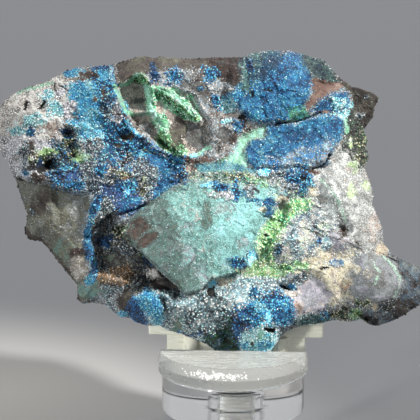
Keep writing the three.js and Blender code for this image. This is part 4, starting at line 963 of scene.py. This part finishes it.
def patch_names(px, py, blur):
    """The palette at each place: the last patch, spot or vein that reaches it, with its edge scattered
    by blur."""
    names = np.full(px.shape, "matrix", dtype="U12")
    for palette, edge, outline in PATCHES:
        corners = np.array(outline)
        reach = edge * PATCH_REACH + PATCH_MARGIN
        low, high = corners.min(0) - reach, corners.max(0) + reach
        near = np.nonzero((px > low[0]) & (px < high[0]) & (py > low[1]) & (py < high[1]))
        wx, wy = ragged(px[near], py[near], edge)
        inside = distance_inside(wx, wy, outline) + PATCH_SCATTER * blur[near] * edge > 0
        names[tuple(axis[inside] for axis in near)] = palette
    wx, wy = ragged(px, py, *SPOT_WANDER)
    for palette, (cx, cy), (rx, ry) in SPOTS:
        near = np.nonzero((np.abs(px - cx) < SPOT_REACH * rx) & (np.abs(py - cy) < SPOT_REACH * ry))
        dx, dy = (wx - px)[near] * SPOT_EDGE * rx, (wy - py)[near] * SPOT_EDGE * ry
        from_middle = np.hypot((px[near] + dx - cx) / rx, (py[near] + dy - cy) / ry)
        inside = 1 - from_middle + SPOT_SCATTER * blur[near] > 0
        names[tuple(axis[inside] for axis in near)] = palette
    wx, wy = ragged(px, py, *VEIN_WANDER)
    for palette, width, path in VEINS:
        names[nearest_on_path(wx, wy, path)[2] + VEIN_SCATTER * blur < width / 2 + VEIN_MARGIN] = palette
    return names


def back_names(px, py, blur):
    """The palette at each place of the back: the face's crusts for a few ragged millimetres past the
    rim, and then bare rock in broad zones."""
    x, up = millimetres(px, py)
    rock = np.full(px.shape, "rock", dtype="U12")
    for palette, size, seed, level in ROCK_ZONES:
        rock[facets(x, up, size, seed) + ZONE_SCATTER * blur > level] = palette
    past = distance_inside(px, py, OUTLINE) * UNIT
    past = past + WRAP_RISE * facets(x, up, WRAP_SIZE, WRAP_SEED) + WRAP_SCATTER * blur
    return np.where(past < CRUST_WRAP, patch_names(px, py, blur), rock)


def linear(hex_colour):
    """An sRGB hex colour as linear light: ((c + 0.055) / 1.055)^2.4."""
    parts = np.array([int(hex_colour[k : k + 2], 16) for k in (0, 2, 4)]) / 255
    return np.where(parts <= 0.04045, parts / 12.92, ((parts + 0.055) / 1.055) ** 2.4)


def threads(px, py):
    """1 along a net of fine wandering threads and 0 between them: where facets cross their middle
    height."""
    x, up = millimetres(*ragged(px, py, *THREAD_WANDER))
    return smooth(THREAD_EDGE - np.abs(facets(x, up, THREAD_NET, THREAD_SEED)) / THREAD_WIDTH)


def blotched(px, py, part, rng):
    """A number from 0 to 1 for each place: part of it random, the rest in blotches a millimetre across,
    and higher along the threads."""
    x, up = millimetres(px, py)
    random = 2 * rng.random(px.shape) - 1
    spread = part * random + (1 - part) * broken(x, up, BLOTCHES)
    return np.clip(0.5 + BLOTCH_GAIN * spread + THREAD_LIGHT * threads(px, py), 0, 1)


def tints(names, colours, chooser):
    """A colour for each place from its palette, whose minerals run into each other from the dark
    ones to the light ones as the chooser rises from 0 to 1, and less far on smooth crusts."""
    result = np.zeros(names.shape + (3,))
    for palette, (_, _, _, brightness, height, shares) in PALETTES.items():
        here = names == palette
        choice = 0.5 + (chooser[here] - 0.5) * min(1, SMOOTH_SPREAD + SPREAD_GROWTH * height)
        minerals = np.array([colours[name] for name in shares])
        weights = np.array(list(shares.values()), float) / sum(shares.values())
        middles = np.cumsum(weights) - weights / 2
        blended = [np.interp(choice, middles, channel) for channel in minerals.T]
        result[here] = brightness * np.stack(blended, -1)
    return result


# Meshes of the stone and its grains


def spaced(at, size, rng):
    """Which of the places to keep so that each cube of its own size holds one: each cube has a number
    worked out from its place and size, and one place of each number stays."""
    cell = np.floor(at / size[:, None]).astype(np.int64)
    key = (cell[:, 0] * CELL_KEY + cell[:, 1]) * CELL_KEY + cell[:, 2]
    key = key + np.round(size / SIZE_STEP).astype(np.int64) * SIZE_KEY
    order = rng.permutation(len(key))
    return order[np.unique(key[order], return_index=True)[1]]


def mesh_piece(name, points, faces, material, tint=None):
    """A flat-shaded mesh object from arrays of points and faces, with an optional colour for each
    point. A colour whose largest part is over 1 is divided by the root of that part."""
    mesh = bpy.data.meshes.new(name)
    corners = np.concatenate([np.asarray(f).ravel() for f in faces])
    sizes = np.concatenate([np.full(len(f), np.asarray(f).shape[1]) for f in faces])
    mesh.vertices.add(len(points))
    mesh.vertices.foreach_set("co", np.asarray(points, np.float32).ravel())
    mesh.loops.add(len(corners))
    mesh.loops.foreach_set("vertex_index", corners.astype(np.int32))
    mesh.polygons.add(len(sizes))
    mesh.polygons.foreach_set("loop_start", (np.cumsum(sizes) - sizes).astype(np.int32))
    mesh.polygons.foreach_set("use_smooth", np.zeros(len(sizes), bool))
    mesh.update(calc_edges=True)
    if tint is not None:
        layer = mesh.attributes.new("tint", "FLOAT_COLOR", "POINT")
        held = np.minimum(1, tint / np.sqrt(np.maximum(1, tint.max(1, keepdims=True))))
        rgba = np.concatenate([held, np.ones((len(tint), 1))], 1)
        layer.data.foreach_set("color", rgba.astype(np.float32).ravel())
    mesh.validate()
    piece = bpy.data.objects.new(name, mesh)
    bpy.context.scene.collection.objects.link(piece)
    mesh.materials.append(material)
    return piece


def grid_quads(index):
    """Quads between the neighbouring vertices of an index grid."""
    return np.stack([index[:-1, :-1], index[1:, :-1], index[1:, 1:], index[:-1, 1:]], -1).reshape(-1, 4)


def back_faces(index, fine):
    """Faces of the back's grid, seen from behind, whose cells along the rim take in the finer border."""
    faces = [grid_quads(index[1:-1, 1:-1])[:, ::-1]]
    for _ in range(4):
        a, b, c, d = index[0, 1:-2], index[0, 2:-1], index[1, 2:-1], index[1, 1:-2]
        faces.append(np.stack([a, fine[0, 3:-3:2], b, c, d], -1))
        corner = [index[0, 0], fine[0, 1], index[0, 1], index[1, 1], index[1, 0], fine[1, 0]]
        faces.append(np.array([corner]))
        index, fine = np.rot90(index), np.rot90(fine)
    return faces


def cell_corners(grid):
    """The values of a grid at the four corners of each of its cells, in turn."""
    corners = np.stack([grid[:-1, :-1], grid[:-1, 1:], grid[1:, 1:], grid[1:, :-1]], 2)
    return corners.reshape(-1, 4, *grid.shape[2:])


class Cells:
    """The cells of a surface grid, to scatter grains over by area. Outward is 1 or -1, the side of the
    grid that the normals point to."""

    def __init__(self, grid, px, py, outward):
        self.corners, self.px, self.py = cell_corners(grid), cell_corners(px), cell_corners(py)
        cross = np.cross(self.corners[:, 2] - self.corners[:, 0], self.corners[:, 3] - self.corners[:, 1])
        self.area = np.linalg.norm(cross, axis=1) / 2
        self.normal = outward * cross / np.maximum(2 * self.area, 1e-15)[:, None]

    def scatter(self, count, rng):
        """Evenly spaced places by area: position, normal and picture place of each."""
        total = np.cumsum(self.area)
        cell = np.searchsorted(total, (np.arange(count) + rng.random(count)) / count * total[-1])
        cell = np.minimum(cell, len(total) - 1)
        s, t = rng.random((2, count))
        weights = np.stack([(1 - s) * (1 - t), s * (1 - t), s * t, (1 - s) * t], -1)
        at = np.einsum("nk,nkc->nc", weights, self.corners[cell])
        return at, self.normal[cell], (weights * self.px[cell]).sum(1), (weights * self.py[cell]).sum(1)


def frames(normals, tilt, rng):
    """Random turned frames whose Z is each normal tilted by a random amount."""
    z = normals + tilt * rng.normal(size=normals.shape)
    z /= np.linalg.norm(z, axis=1, keepdims=True)
    x = np.cross(z, rng.normal(size=normals.shape))
    x /= np.linalg.norm(x, axis=1, keepdims=True)
    return np.stack([x, np.cross(z, x), z], -1)


def crystals(name, shape, at, normals, scales, colours, tilt, material, rng):
    """One mesh of many crystals: each corner is scaled, turned by the crystal's frame and added to its
    place, a little sunk, and its colour gets painted shade where it is low and a painted highlight
    at the top."""
    corners, faces = shape
    turned = frames(normals, tilt, rng)
    sunk = at - normals * SUNK * scales[:, 2:]
    points = sunk[:, None] + np.einsum("nij,nkj->nki", turned, scales[:, None] * corners[None])
    index = faces[None] + len(corners) * np.arange(len(at))[:, None, None]
    # Painted shade on the low corners and a painted highlight on the top, varied a little at random.
    shade = PAINTED_GRAIN_SHADING[None, : len(corners), None]
    shade = shade * rng.uniform(*SHADE_SPREAD, (len(at), len(corners), 1))
    shade = (colours[:, None] * shade).reshape(-1, 3)
    return mesh_piece(name, points.reshape(-1, 3), [index.reshape(-1, 3)], material, shade)


# Materials


def set_inputs(node, values):
    """Sets inputs of a node by name or number."""
    for socket, value in values.items():
        node.inputs[socket].default_value = value


def add_node(tree, kind, values=None):
    """A new node of a kind, with values for some of its inputs."""
    node = tree.nodes.new(f"ShaderNode{kind}")
    set_inputs(node, values or {})
    return node


def join(tree, source, output, target, socket):
    """Links an output of one node to an input of another."""
    tree.links.new(source.outputs[output], target.inputs[socket])


def add_relief(tree, shader, source, output, strength, depth):
    """Gives a shader bumps, depth millimetres deep, from an output of a node."""
    relief = add_node(tree, "Bump", {"Strength": strength, "Distance": depth * METRE})
    join(tree, source, output, relief, "Height")
    join(tree, relief, "Normal", shader, "Normal")


def new_material(name):
    """A new material with one shader, and its node tree."""
    material = bpy.data.materials.new(name)
    material.use_nodes = True
    tree = material.node_tree
    tree.nodes.clear()
    output, shader = add_node(tree, "OutputMaterial"), add_node(tree, "BsdfPrincipled")
    join(tree, shader, "BSDF", output, "Surface")
    return material, tree, shader


def uneven_group():
    """A node group that makes a colour and a roughness uneven, with a bump height. Noise darkens and
    lightens the colour, cells change the roughness, and the height is noise less the cells."""
    tree = bpy.data.node_groups.get("Uneven mineral")
    if tree:
        return tree
    tree = bpy.data.node_groups.new("Uneven mineral", "ShaderNodeTree")
    for way, sockets in (
        ("INPUT", {"Color": "Color", "Scale": "Float", "Roughness": "Float"}),
        ("OUTPUT", {"Color": "Color", "Roughness": "Float", "Height": "Float"}),
    ):
        for socket, kind in sockets.items():
            tree.interface.new_socket(socket, in_out=way, socket_type=f"NodeSocket{kind}")
    inputs, outputs = tree.nodes.new("NodeGroupInput"), tree.nodes.new("NodeGroupOutput")
    place = add_node(tree, "TexCoord")
    noise = add_node(tree, "TexNoise", {"Detail": 6, "Roughness": 0.65})
    cells = add_node(tree, "TexVoronoi")
    for texture in (noise, cells):
        join(tree, place, "Object", texture, "Vector")
        join(tree, inputs, "Scale", texture, "Scale")
    spread = add_node(tree, "MapRange", {"From Min": 0.3, "From Max": 0.7, "To Min": 0.55, "To Max": 1.35})
    join(tree, noise, "Fac", spread, "Value")
    shade = add_node(tree, "Mix")
    shade.data_type, shade.blend_type = "RGBA", "MULTIPLY"
    set_inputs(shade, {"Factor": 1})
    join(tree, inputs, "Color", shade, "A")
    join(tree, spread, "Result", shade, "B")
    join(tree, shade, "Result", outputs, "Color")
    split = add_node(tree, "SeparateColor")
    join(tree, cells, "Color", split, "Color")
    vary = add_node(tree, "Math", {1: CELL_ROUGHNESS})
    vary.operation = "MULTIPLY_ADD"
    join(tree, split, "Red", vary, 0)
    join(tree, inputs, "Roughness", vary, 2)
    join(tree, vary, "Value", outputs, "Roughness")
    height = add_node(tree, "Math")
    height.operation = "SUBTRACT"
    join(tree, noise, "Fac", height, 0)
    join(tree, cells, "Distance", height, 1)
    join(tree, height, "Value", outputs, "Height")
    return tree


def mineral_material(name):
    """A mineral surface that takes its colour from the tint of each vertex."""
    scale, roughness, relief, coat = SURFACES[name]
    material, tree, shader = new_material(name)
    tint = add_node(tree, "Attribute")
    tint.attribute_name = "tint"
    uneven = add_node(tree, "Group")
    uneven.node_tree = uneven_group()
    set_inputs(uneven, {"Scale": scale, "Roughness": roughness})
    join(tree, tint, "Color", uneven, "Color")
    join(tree, uneven, "Color", shader, "Base Color")
    join(tree, uneven, "Roughness", shader, "Roughness")
    add_relief(tree, shader, uneven, "Height", relief, MINERAL_RELIEF)
    set_inputs(shader, {"Coat Weight": coat, "Coat Roughness": COAT_ROUGHNESS})
    return material


def acrylic(name):
    """Clear or milky acrylic, with marks of the saw along X where it has them."""
    colour, roughness, clearness, marks = ACRYLICS[name]
    material, tree, shader = new_material(name)
    set_inputs(shader, {"Base Color": (*colour, 1), "Roughness": roughness})
    set_inputs(shader, {"Transmission Weight": clearness, "IOR": ACRYLIC_IOR})
    if marks:
        place = add_node(tree, "TexCoord")
        stretch = add_node(tree, "Mapping", {"Scale": SAW_SCALE})
        noise = add_node(tree, "TexNoise", {"Scale": 1, "Detail": 5})
        uneven = add_node(tree, "MapRange", {"From Min": 0.35, "From Max": 0.7})
        set_inputs(uneven, {"To Min": roughness * SAW_SMOOTHEST, "To Max": roughness * SAW_ROUGHEST})
        join(tree, place, "Object", stretch, "Vector")
        join(tree, stretch, "Vector", noise, "Vector")
        join(tree, noise, "Fac", uneven, "Value")
        join(tree, uneven, "Result", shader, "Roughness")
        add_relief(tree, shader, noise, "Fac", marks, SAW_RELIEF)
    return material


# Solids of the stand


def loft(rows):
    """A closed solid through rows of points, each a loop of the same length: four-sided faces join each
    row to the next, and one flat face closes each end."""
    points = np.concatenate(rows)
    count = len(rows[0])
    ring = np.arange(count)
    after = (ring + 1) % count
    band = np.stack([ring, after, after + count, ring + count], -1)
    faces = [band + k * count for k in range(len(rows) - 1)]
    ends = [ring[::-1][None], (ring + (len(rows) - 1) * count)[None]]
    return points, faces + ends


def stacked(rows):
    """A closed solid through rows of a plan in x and y and a height."""
    return loft([np.column_stack([plan, np.full(len(plan), float(z))]) for plan, z in rows])


def circle(radius, steps):
    """Points round a circle: the radius times the cosine and sine of even angles."""
    angle = np.arange(steps) * 2 * math.pi / steps
    return np.column_stack([radius * np.cos(angle), radius * np.sin(angle)])


def half_disc(across, deep):
    """The rim of the front jaw at one height: half an ellipse in front of its straight edge."""
    angle = np.linspace(math.pi, 2 * math.pi, JAW_STEPS)
    return np.column_stack([across * np.cos(angle), JAW_EDGE_Y + deep * np.sin(angle)])


def spun(rows, steps):
    """A solid of revolution through rows of radius and height."""
    return stacked([(circle(radius, steps), z) for radius, z in rows])


def stand_piece(name, solid, material, slot):
    """A stand piece in place of its CAD node, with its hard edges softened."""
    points, faces = solid
    piece = mesh_piece(f"{name}_fine", points * METRE, faces, material)
    modifier = piece.modifiers.new("Softened edges", "BEVEL")
    modifier.width = SOFTENED[name] * METRE
    modifier.segments = SOFTENED_STEPS
    modifier.limit_method = "ANGLE"
    modifier.angle_limit = math.radians(SOFTENED_FROM)
    finish_piece(piece, slot, name)


def finish_piece(piece, slot, *nodes):
    """Ties a piece to the CAD: its body, and the nodes it stands for, which it hides. The slot for its
    finish is not used.
    """
    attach(piece, "root")
    if nodes:
        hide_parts(*nodes)


# Values of the panel


def colour_property(name, hex_colour, description):
    """A colour of the panel, whose default is an sRGB hex colour."""
    return bpy.props.FloatVectorProperty(
        name=name, description=description, subtype="COLOR", size=3, min=0, max=1,
        default=tuple(linear(hex_colour)),
    )


def angle_property(name, description, degrees):
    """An angle of the panel, with its default in degrees."""
    return bpy.props.FloatProperty(
        name=name, description=description, default=math.radians(degrees), subtype="ANGLE", unit="ROTATION"
    )


class MineralColours(bpy.types.PropertyGroup):
    """The colours of the minerals in the crusts."""

    __annotations__ = {
        name: colour_property(name.replace("_", " ").capitalize(), hex_colour, description)
        for name, (hex_colour, description) in MINERALS.items()
    }


class StoneSizes(bpy.types.PropertyGroup):
    """How the stone stands, and the size of its grains."""

    lean: angle_property("Lean", "How far the stone leans back", 12)
    turn: angle_property("Turn", "How far the stone is turned in the jaws", 4)
    grain: bpy.props.FloatProperty(
        name="Grain size", description="Scales every crystal grain", default=1.0, min=0.3, max=3
    )


class StandSizes(bpy.types.PropertyGroup):
    """Sizes of the clamp stand, in millimetres."""

    __annotations__ = {
        name: bpy.props.FloatProperty(name=label, description=description, default=default)
        for name, (label, description, default) in STAND_SIZES.items()
    }


class SPECIMEN_OT_stone(bpy.types.Operator):
    """Builds the stone and the crystal grains of its crusts"""

    bl_idname = "specimen.stone"
    bl_label = "Build the stone"

    def execute(self, context):
        sizes, colours = context.scene.stone_sizes, mineral_values(context)
        rng = np.random.default_rng(SEED)
        face, back, px, py = stone_grids(sizes.lean, sizes.turn)
        self.body(face, back, px, py, colours, rng)
        pale = mineral_material("Pale druse")
        even = (slice(None, None, 2),) * 2
        self.face_grains(Cells(face, px, py, -1), colours, sizes.grain, pale, rng)
        self.back_grains(Cells(back, px[even], py[even], 1), colours, sizes.grain, pale, rng)
        return {"FINISHED"}

    def body(self, face, back, px, py, colours, rng):
        """The stone under its grains: the face's grid and the coarser back's, joined along the rim."""
        side, half = FACE_CELLS + 1, FACE_CELLS // 2 + 1
        fine = np.arange(side * side).reshape(side, side)
        coarse = fine[::2, ::2].copy()
        coarse[1:-1, 1:-1] = side * side + np.arange((half - 2) ** 2).reshape(half - 2, half - 2)
        points = np.concatenate([face.reshape(-1, 3), back[1:-1, 1:-1].reshape(-1, 3)])
        names = patch_names(px, py, rng.normal(scale=BLUR, size=px.shape))
        tint = tints(names, colours, blotched(px, py, STONE_RANDOM, rng))
        # Painted shade on the stone in the gaps between the knobs, darker where the knobs are higher.
        for palette, (_, _, _, _, height, _) in PALETTES.items():
            tint[names == palette] *= 1 - min(DARKEST_PAINTED_SHADE, GAP_PAINTED_SHADE * height)
        inner = (slice(2, -2, 2),) * 2
        rear = back_names(px[inner], py[inner], rng.normal(scale=BLUR, size=(half - 2,) * 2)).ravel()
        plain = tints(rear, colours, blotched(px[inner], py[inner], STONE_RANDOM, rng).ravel())
        tint = np.concatenate([tint.reshape(-1, 3), plain])
        faces = [grid_quads(fine), *back_faces(coarse, fine)]
        stone = mesh_piece("cornetite_stone", points, faces, mineral_material("Ore"), tint)
        finish_piece(stone, "ore", "cornetite_specimen")

    def face_grains(self, face, colours, grain, pale, rng):
        """Grains over the face, by palette, in meshes of one family each."""
        green = mineral_material("Green crust")
        looks = {
            "pale": (GRAIN, 1, pale),
            "blue": (GRAIN, 1, mineral_material("Cornetite")),
            "teal": (GRAIN, 1, mineral_material("Teal crust")),
            "green": (GRAIN, 1, green),
            "sprig": (NEEDLE, NEEDLE_SCALE, green),
        }
        at, normals, px, py = face.scatter(FACE_SAMPLES, rng)
        names = patch_names(px, py, rng.normal(scale=BLUR, size=len(at)))
        size, cover, family = np.zeros(len(at)), np.zeros(len(at)), np.full(len(at), "sprig")
        for palette, (kind, grain_size, share, _, _, _) in PALETTES.items():
            here = names == palette
            size[here], cover[here], family[here] = grain_size * METRE, share, kind
        kept = spaced(at, size, rng)
        kept = kept[rng.random(len(kept)) < cover[kept]]
        colour = tints(names, colours, blotched(px, py, GRAIN_RANDOM, rng))
        colour *= rng.lognormal(0, GRAIN_LIGHTNESS, (len(at), 1))
        for kind, (shape, stretch, material) in looks.items():
            chosen = kept[family[kept] == kind]
            scale = size[chosen, None] * rng.uniform(*GRAIN_SPREAD, (len(chosen), 3)) * grain * stretch
            parts = np.array_split(np.arange(len(chosen)), len(chosen) // PIECE_GRAINS + 1)
            for number, part in enumerate(parts, 1):
                where = chosen[part]
                piece = crystals(
                    f"{kind}_grains_{number}", shape, at[where], normals[where], scale[part],
                    colour[where], GRAIN_TILT, material, rng,
                )
                finish_piece(piece, "ore")

    def back_grains(self, back, colours, grain, material, rng):
        """Grains of one size over the back."""
        at, normals, px, py = back.scatter(BACK_SAMPLES, rng)
        kept = spaced(at, np.full(len(at), BACK_GRAIN * METRE), rng)
        names = back_names(px[kept], py[kept], rng.normal(scale=BLUR, size=len(kept)))
        colour = tints(names, colours, blotched(px[kept], py[kept], BACK_RANDOM, rng))
        scale = BACK_GRAIN * METRE * rng.uniform(*BACK_SPREAD, (len(kept), 3)) * grain
        at, normals = at[kept], normals[kept]
        piece = crystals("back_grains", GRAIN, at, normals, scale, colour, BACK_TILT, material, rng)
        finish_piece(piece, "ore")


class SPECIMEN_OT_stand(bpy.types.Operator):
    """Builds the clear stand under the stone"""

    bl_idname = "specimen.stand"
    bl_label = "Build the stand"

    def execute(self, context):
        s = context.scene.stand_sizes
        bottom = JAW_TOP - s.jaw_thickness
        front = JAW_EDGE_Y + s.slot
        back = front + s.rear_depth
        milky = acrylic("Milky acrylic")
        self.front_jaw(s, bottom)
        self.block(s, bottom, back)
        self.rear_jaw(s, bottom, front, back, milky)
        self.crossbar(s, front, back, milky)
        self.post(s, bottom - s.block_height + s.post_engagement)
        self.foot(s)
        self.glint_flakes(s)
        return {"FINISHED"}

    def front_jaw(self, s, bottom):
        """The front jaw, a half disc whose rim slopes at the top, with a film of saw marks on that."""
        across, deep = s.jaw_radius - s.jaw_slope_side, s.jaw_radius - s.jaw_slope_front
        full = half_disc(s.jaw_radius, s.jaw_radius)
        rows = [(full, bottom), (full, JAW_TOP - s.jaw_slope), (half_disc(across, deep), JAW_TOP)]
        stand_piece("front_jaw", stacked(rows), acrylic("Worn acrylic"), "clear_acrylic")
        film = half_disc(across - FILM_INSET, deep - FILM_INSET)
        points, faces = stacked([(film, JAW_TOP + FILM_BOTTOM), (film, JAW_TOP + FILM_TOP)])
        sawn = mesh_piece("sawn_top", points * METRE, faces, acrylic("Sawn acrylic"))
        finish_piece(sawn, "clear_acrylic")

    def block(self, s, top, rear_back):
        """The clear block: round in front, square behind, with a blind hole from below for the post. Each
        angle's ray from the post's middle ends at the square, or in front at the circle that is about
        the jaw's middle."""
        low = top - s.block_height
        corner, side = math.atan2(rear_back, s.block_radius), math.atan2(JAW_EDGE_Y, s.block_radius)
        ends = [side, corner, math.pi - corner, math.pi - side, 2 * math.pi + side]
        arcs = zip(ends[:-1], ends[1:], BLOCK_STEPS)
        angle = np.concatenate([np.linspace(start, end, steps)[:-1] for start, end, steps in arcs])
        dx, dy = np.cos(angle), np.sin(angle)
        ahead = JAW_EDGE_Y * dy
        front = ahead + np.sqrt(ahead**2 - JAW_EDGE_Y**2 + s.block_radius**2)
        with np.errstate(divide="ignore"):
            square = np.minimum(s.block_radius / np.abs(dx), np.where(dy > 0, rear_back / dy, np.inf))
        far = np.where(dy * square >= JAW_EDGE_Y - 1e-9, square, front)
        outer = np.column_stack([dx * far, dy * far])
        bore = np.column_stack([dx, dy]) * (s.post_radius + s.post_clearance)
        rows = [(bore, low + s.post_engagement), (bore, low), (outer, low), (outer, top)]
        stand_piece("clear_block", stacked(rows), acrylic("Clear acrylic"), "clear_acrylic")

    def rear_jaw(self, s, bottom, front, back, material):
        """The rear jaw, with fine rings round its two upright ribs."""
        angle = np.linspace(math.pi, 2 * math.pi, RIB_STEPS)
        width = s.block_radius
        rows = []
        for k, z in enumerate(np.linspace(bottom, JAW_TOP + s.rear_rise - s.bar_height, RING_LEVELS)):
            radius = s.rib_radius - (RING_DEPTH if k % 2 else 0)
            x, y = radius * np.cos(angle), front + radius * np.sin(angle)
            ribs = [np.column_stack([side * s.rib_spacing / 2 + x, y]) for side in (-1, 1)]
            corners = [(width, front), (width, back), (-width, back)]
            rows.append((np.concatenate([[(-width, front)], *ribs, corners]), z))
        stand_piece("rear_jaw", stacked(rows), material, "milky_acrylic")

    def crossbar(self, s, front, back, material):
        """The crossbar on the rear jaw, which stands out past it in front and at both sides."""
        x, y, top = s.bar_length / 2, front - s.bar_proud, JAW_TOP + s.rear_rise
        bar = np.array([(-x, y), (x, y), (x, back), (-x, back)])
        rows = [(bar, top - s.bar_height), (bar, top)]
        stand_piece("crossbar", stacked(rows), material, "milky_acrylic")

    def post(self, s, top):
        """The post from the foot to the block, with rings for its thread between plain ends."""
        rows = [(s.post_radius, s.foot_height), (s.post_radius, s.foot_height + POST_SHOULDER)]
        for z in np.arange(s.foot_height + THREAD_START, top - THREAD_END, s.thread_pitch)[:-1]:
            rows += [(s.post_radius - s.thread_depth, z), (s.post_radius, z + s.thread_pitch / 2)]
        rows += [(s.post_radius, top - POST_TIP), (s.post_radius - POST_TIP_NARROWER, top)]
        stand_piece("post", spun(rows, POST_STEPS), acrylic("Threaded acrylic"), "clear_acrylic")

    def foot(self, s):
        """The round foot, chamfered at the top."""
        narrow, shoulder = s.foot_radius - s.foot_chamfer, s.foot_height - s.foot_chamfer
        rows = [(s.foot_radius, 0), (s.foot_radius, shoulder), (narrow, s.foot_height)]
        stand_piece("foot", spun(rows, FOOT_STEPS), acrylic("Hazy acrylic"), "clear_acrylic")

    def glint_flakes(self, s):
        """Small white flakes in a ragged row along the front jaw's slope, a little left of its middle:
        painted highlights for the glints of light on it.
        """
        rng = np.random.default_rng(SEED)
        angle = np.radians(np.clip(rng.normal(GLINT_ANGLE, GLINT_SPREAD, GLINT_FLAKES), *GLINT_ENDS))
        down = GLINT_DOWN
        for height, number in GLINT_WAVES:
            down = down + height * np.sin(number * angle)
        down = np.clip(down + rng.normal(0, GLINT_SCATTER, GLINT_FLAKES), *GLINT_DOWN_ENDS)
        deep = s.jaw_radius - s.jaw_slope_front * (1 - down)
        x, y = s.jaw_radius * np.cos(angle), JAW_EDGE_Y + deep * np.sin(angle)
        at = np.column_stack([x, y, JAW_TOP - s.jaw_slope * down])
        normals = np.tile(np.array(GLINT_NORMAL), (GLINT_FLAKES, 1))
        scale = rng.uniform(*GLINT_RADII, (GLINT_FLAKES, 3)) * np.array(GLINT_FLATNESS) * METRE
        # White flakes as painted highlights.
        white, material = np.ones((GLINT_FLAKES, 3)), mineral_material("Glint flakes")
        piece = crystals("jaw_glint_flakes", GRAIN, at * METRE, normals, scale, white, GLINT_TILT, material, rng)
        finish_piece(piece, "clear_acrylic")


class SPECIMEN_OT_stage(bpy.types.Operator):
    """Builds the floor, the lights and the camera"""

    bl_idname = "specimen.stage"
    bl_label = "Build the stage"

    def execute(self, context):
        scene, sizes = context.scene, context.scene.stone_sizes
        material, _, shader = new_material("Pale floor")
        set_inputs(shader, {"Base Color": (*FLOOR_COLOUR, 1), "Roughness": FLOOR_ROUGHNESS})
        points = FLOOR_REACH * np.array([(-1, -1, 0), (1, -1, 0), (1, 1, 0), (-1, 1, 0)], float)
        floor = mesh_piece("floor", points, [np.array([(0, 1, 2, 3)])], material)
        world = bpy.data.worlds.new("Soft studio")
        scene.world = world
        world.use_nodes = True
        sky = {"Color": (*SKY_COLOUR, 1), "Strength": SKY_STRENGTH}
        set_inputs(world.node_tree.nodes["Background"], sky)
        middle = Vector(stood(placed(SIGHT_X, SIGHT_Y, 0.0), sizes.lean, sizes.turn))
        stand = Vector((0, JAW_EDGE_Y * METRE, JAW_TOP * METRE))
        key = self.light("Key", middle)
        fill = self.light("Low fill", stand)
        pool = self.light("Pool", Vector())
        back = self.light("Back", middle)
        left = self.light("Left fill", middle)
        top = self.light("Top", stand)
        camera = bpy.data.cameras.new("Camera")
        camera.lens = camera.sensor_width * SIGHT_DISTANCE / (PICTURE_WIDTH * UNIT)
        camera.clip_start = 0.01
        eye = bpy.data.objects.new("Camera", camera)
        scene.collection.objects.link(eye)
        eye.location = Vector(stood(placed(SIGHT_X, SIGHT_Y, SIGHT_DISTANCE), sizes.lean, sizes.turn))
        eye.rotation_euler = (middle - eye.location).to_track_quat("-Z", "Y").to_euler()
        scene.camera = eye
        scene.view_settings.view_transform = "Standard"
        return {"FINISHED"}

    def light(self, name, near):
        """A soft spot light, aimed at its own place near the given one from its offset."""
        shift, offset, angle, size, power, colour = LIGHTS[name]
        data = bpy.data.lights.new(name, "SPOT")
        data.spot_size, data.spot_blend = math.radians(angle), LIGHT_BLEND
        data.shadow_soft_size, data.energy, data.color = size, power, colour
        lamp = bpy.data.objects.new(name, data)
        bpy.context.scene.collection.objects.link(lamp)
        lamp.location = near + Vector(shift) + Vector(offset)
        lamp.rotation_euler = (-Vector(offset)).to_track_quat("-Z", "Y").to_euler()
        return lamp


class SPECIMEN_PT_panel(bpy.types.Panel):
    """The specimen's sizes and colours"""

    bl_idname = "SPECIMEN_PT_panel"
    bl_label = "Specimen"
    bl_space_type = "VIEW_3D"
    bl_region_type = "UI"
    bl_category = "Specimen"

    def draw(self, context):
        for group in (context.scene.stone_sizes, context.scene.stand_sizes, context.scene.mineral_colours):
            box = self.layout.box()
            for name in group.bl_rna.properties.keys():
                if name not in ("rna_type", "name"):
                    box.prop(group, name)
        for operator in OPERATORS:
            self.layout.operator(operator.bl_idname)


OPERATORS = (SPECIMEN_OT_stone, SPECIMEN_OT_stand, SPECIMEN_OT_stage)
GROUPS = {"stone_sizes": StoneSizes, "stand_sizes": StandSizes, "mineral_colours": MineralColours}
CLASSES = (*GROUPS.values(), *OPERATORS, SPECIMEN_PT_panel)


def mineral_values(context):
    """The minerals' colours from the panel."""
    return {name: np.array(getattr(context.scene.mineral_colours, name)) for name in MINERALS}


def register():
    """Makes the classes and the scene's values known to the program."""
    for cls in CLASSES:
        bpy.utils.register_class(cls)
    for name, group in GROUPS.items():
        setattr(bpy.types.Scene, name, bpy.props.PointerProperty(type=group))


def unregister():
    """Takes the scene's values and the classes out again."""
    for name in GROUPS:
        delattr(bpy.types.Scene, name)
    for cls in reversed(CLASSES):
        bpy.utils.unregister_class(cls)


def main():
    """Builds the specimen."""
    register()
    bpy.ops.specimen.stone()
    bpy.ops.specimen.stand()
    bpy.ops.specimen.stage()
    bpy.context.view_layer.update()


if __name__ == "__main__":
    main()
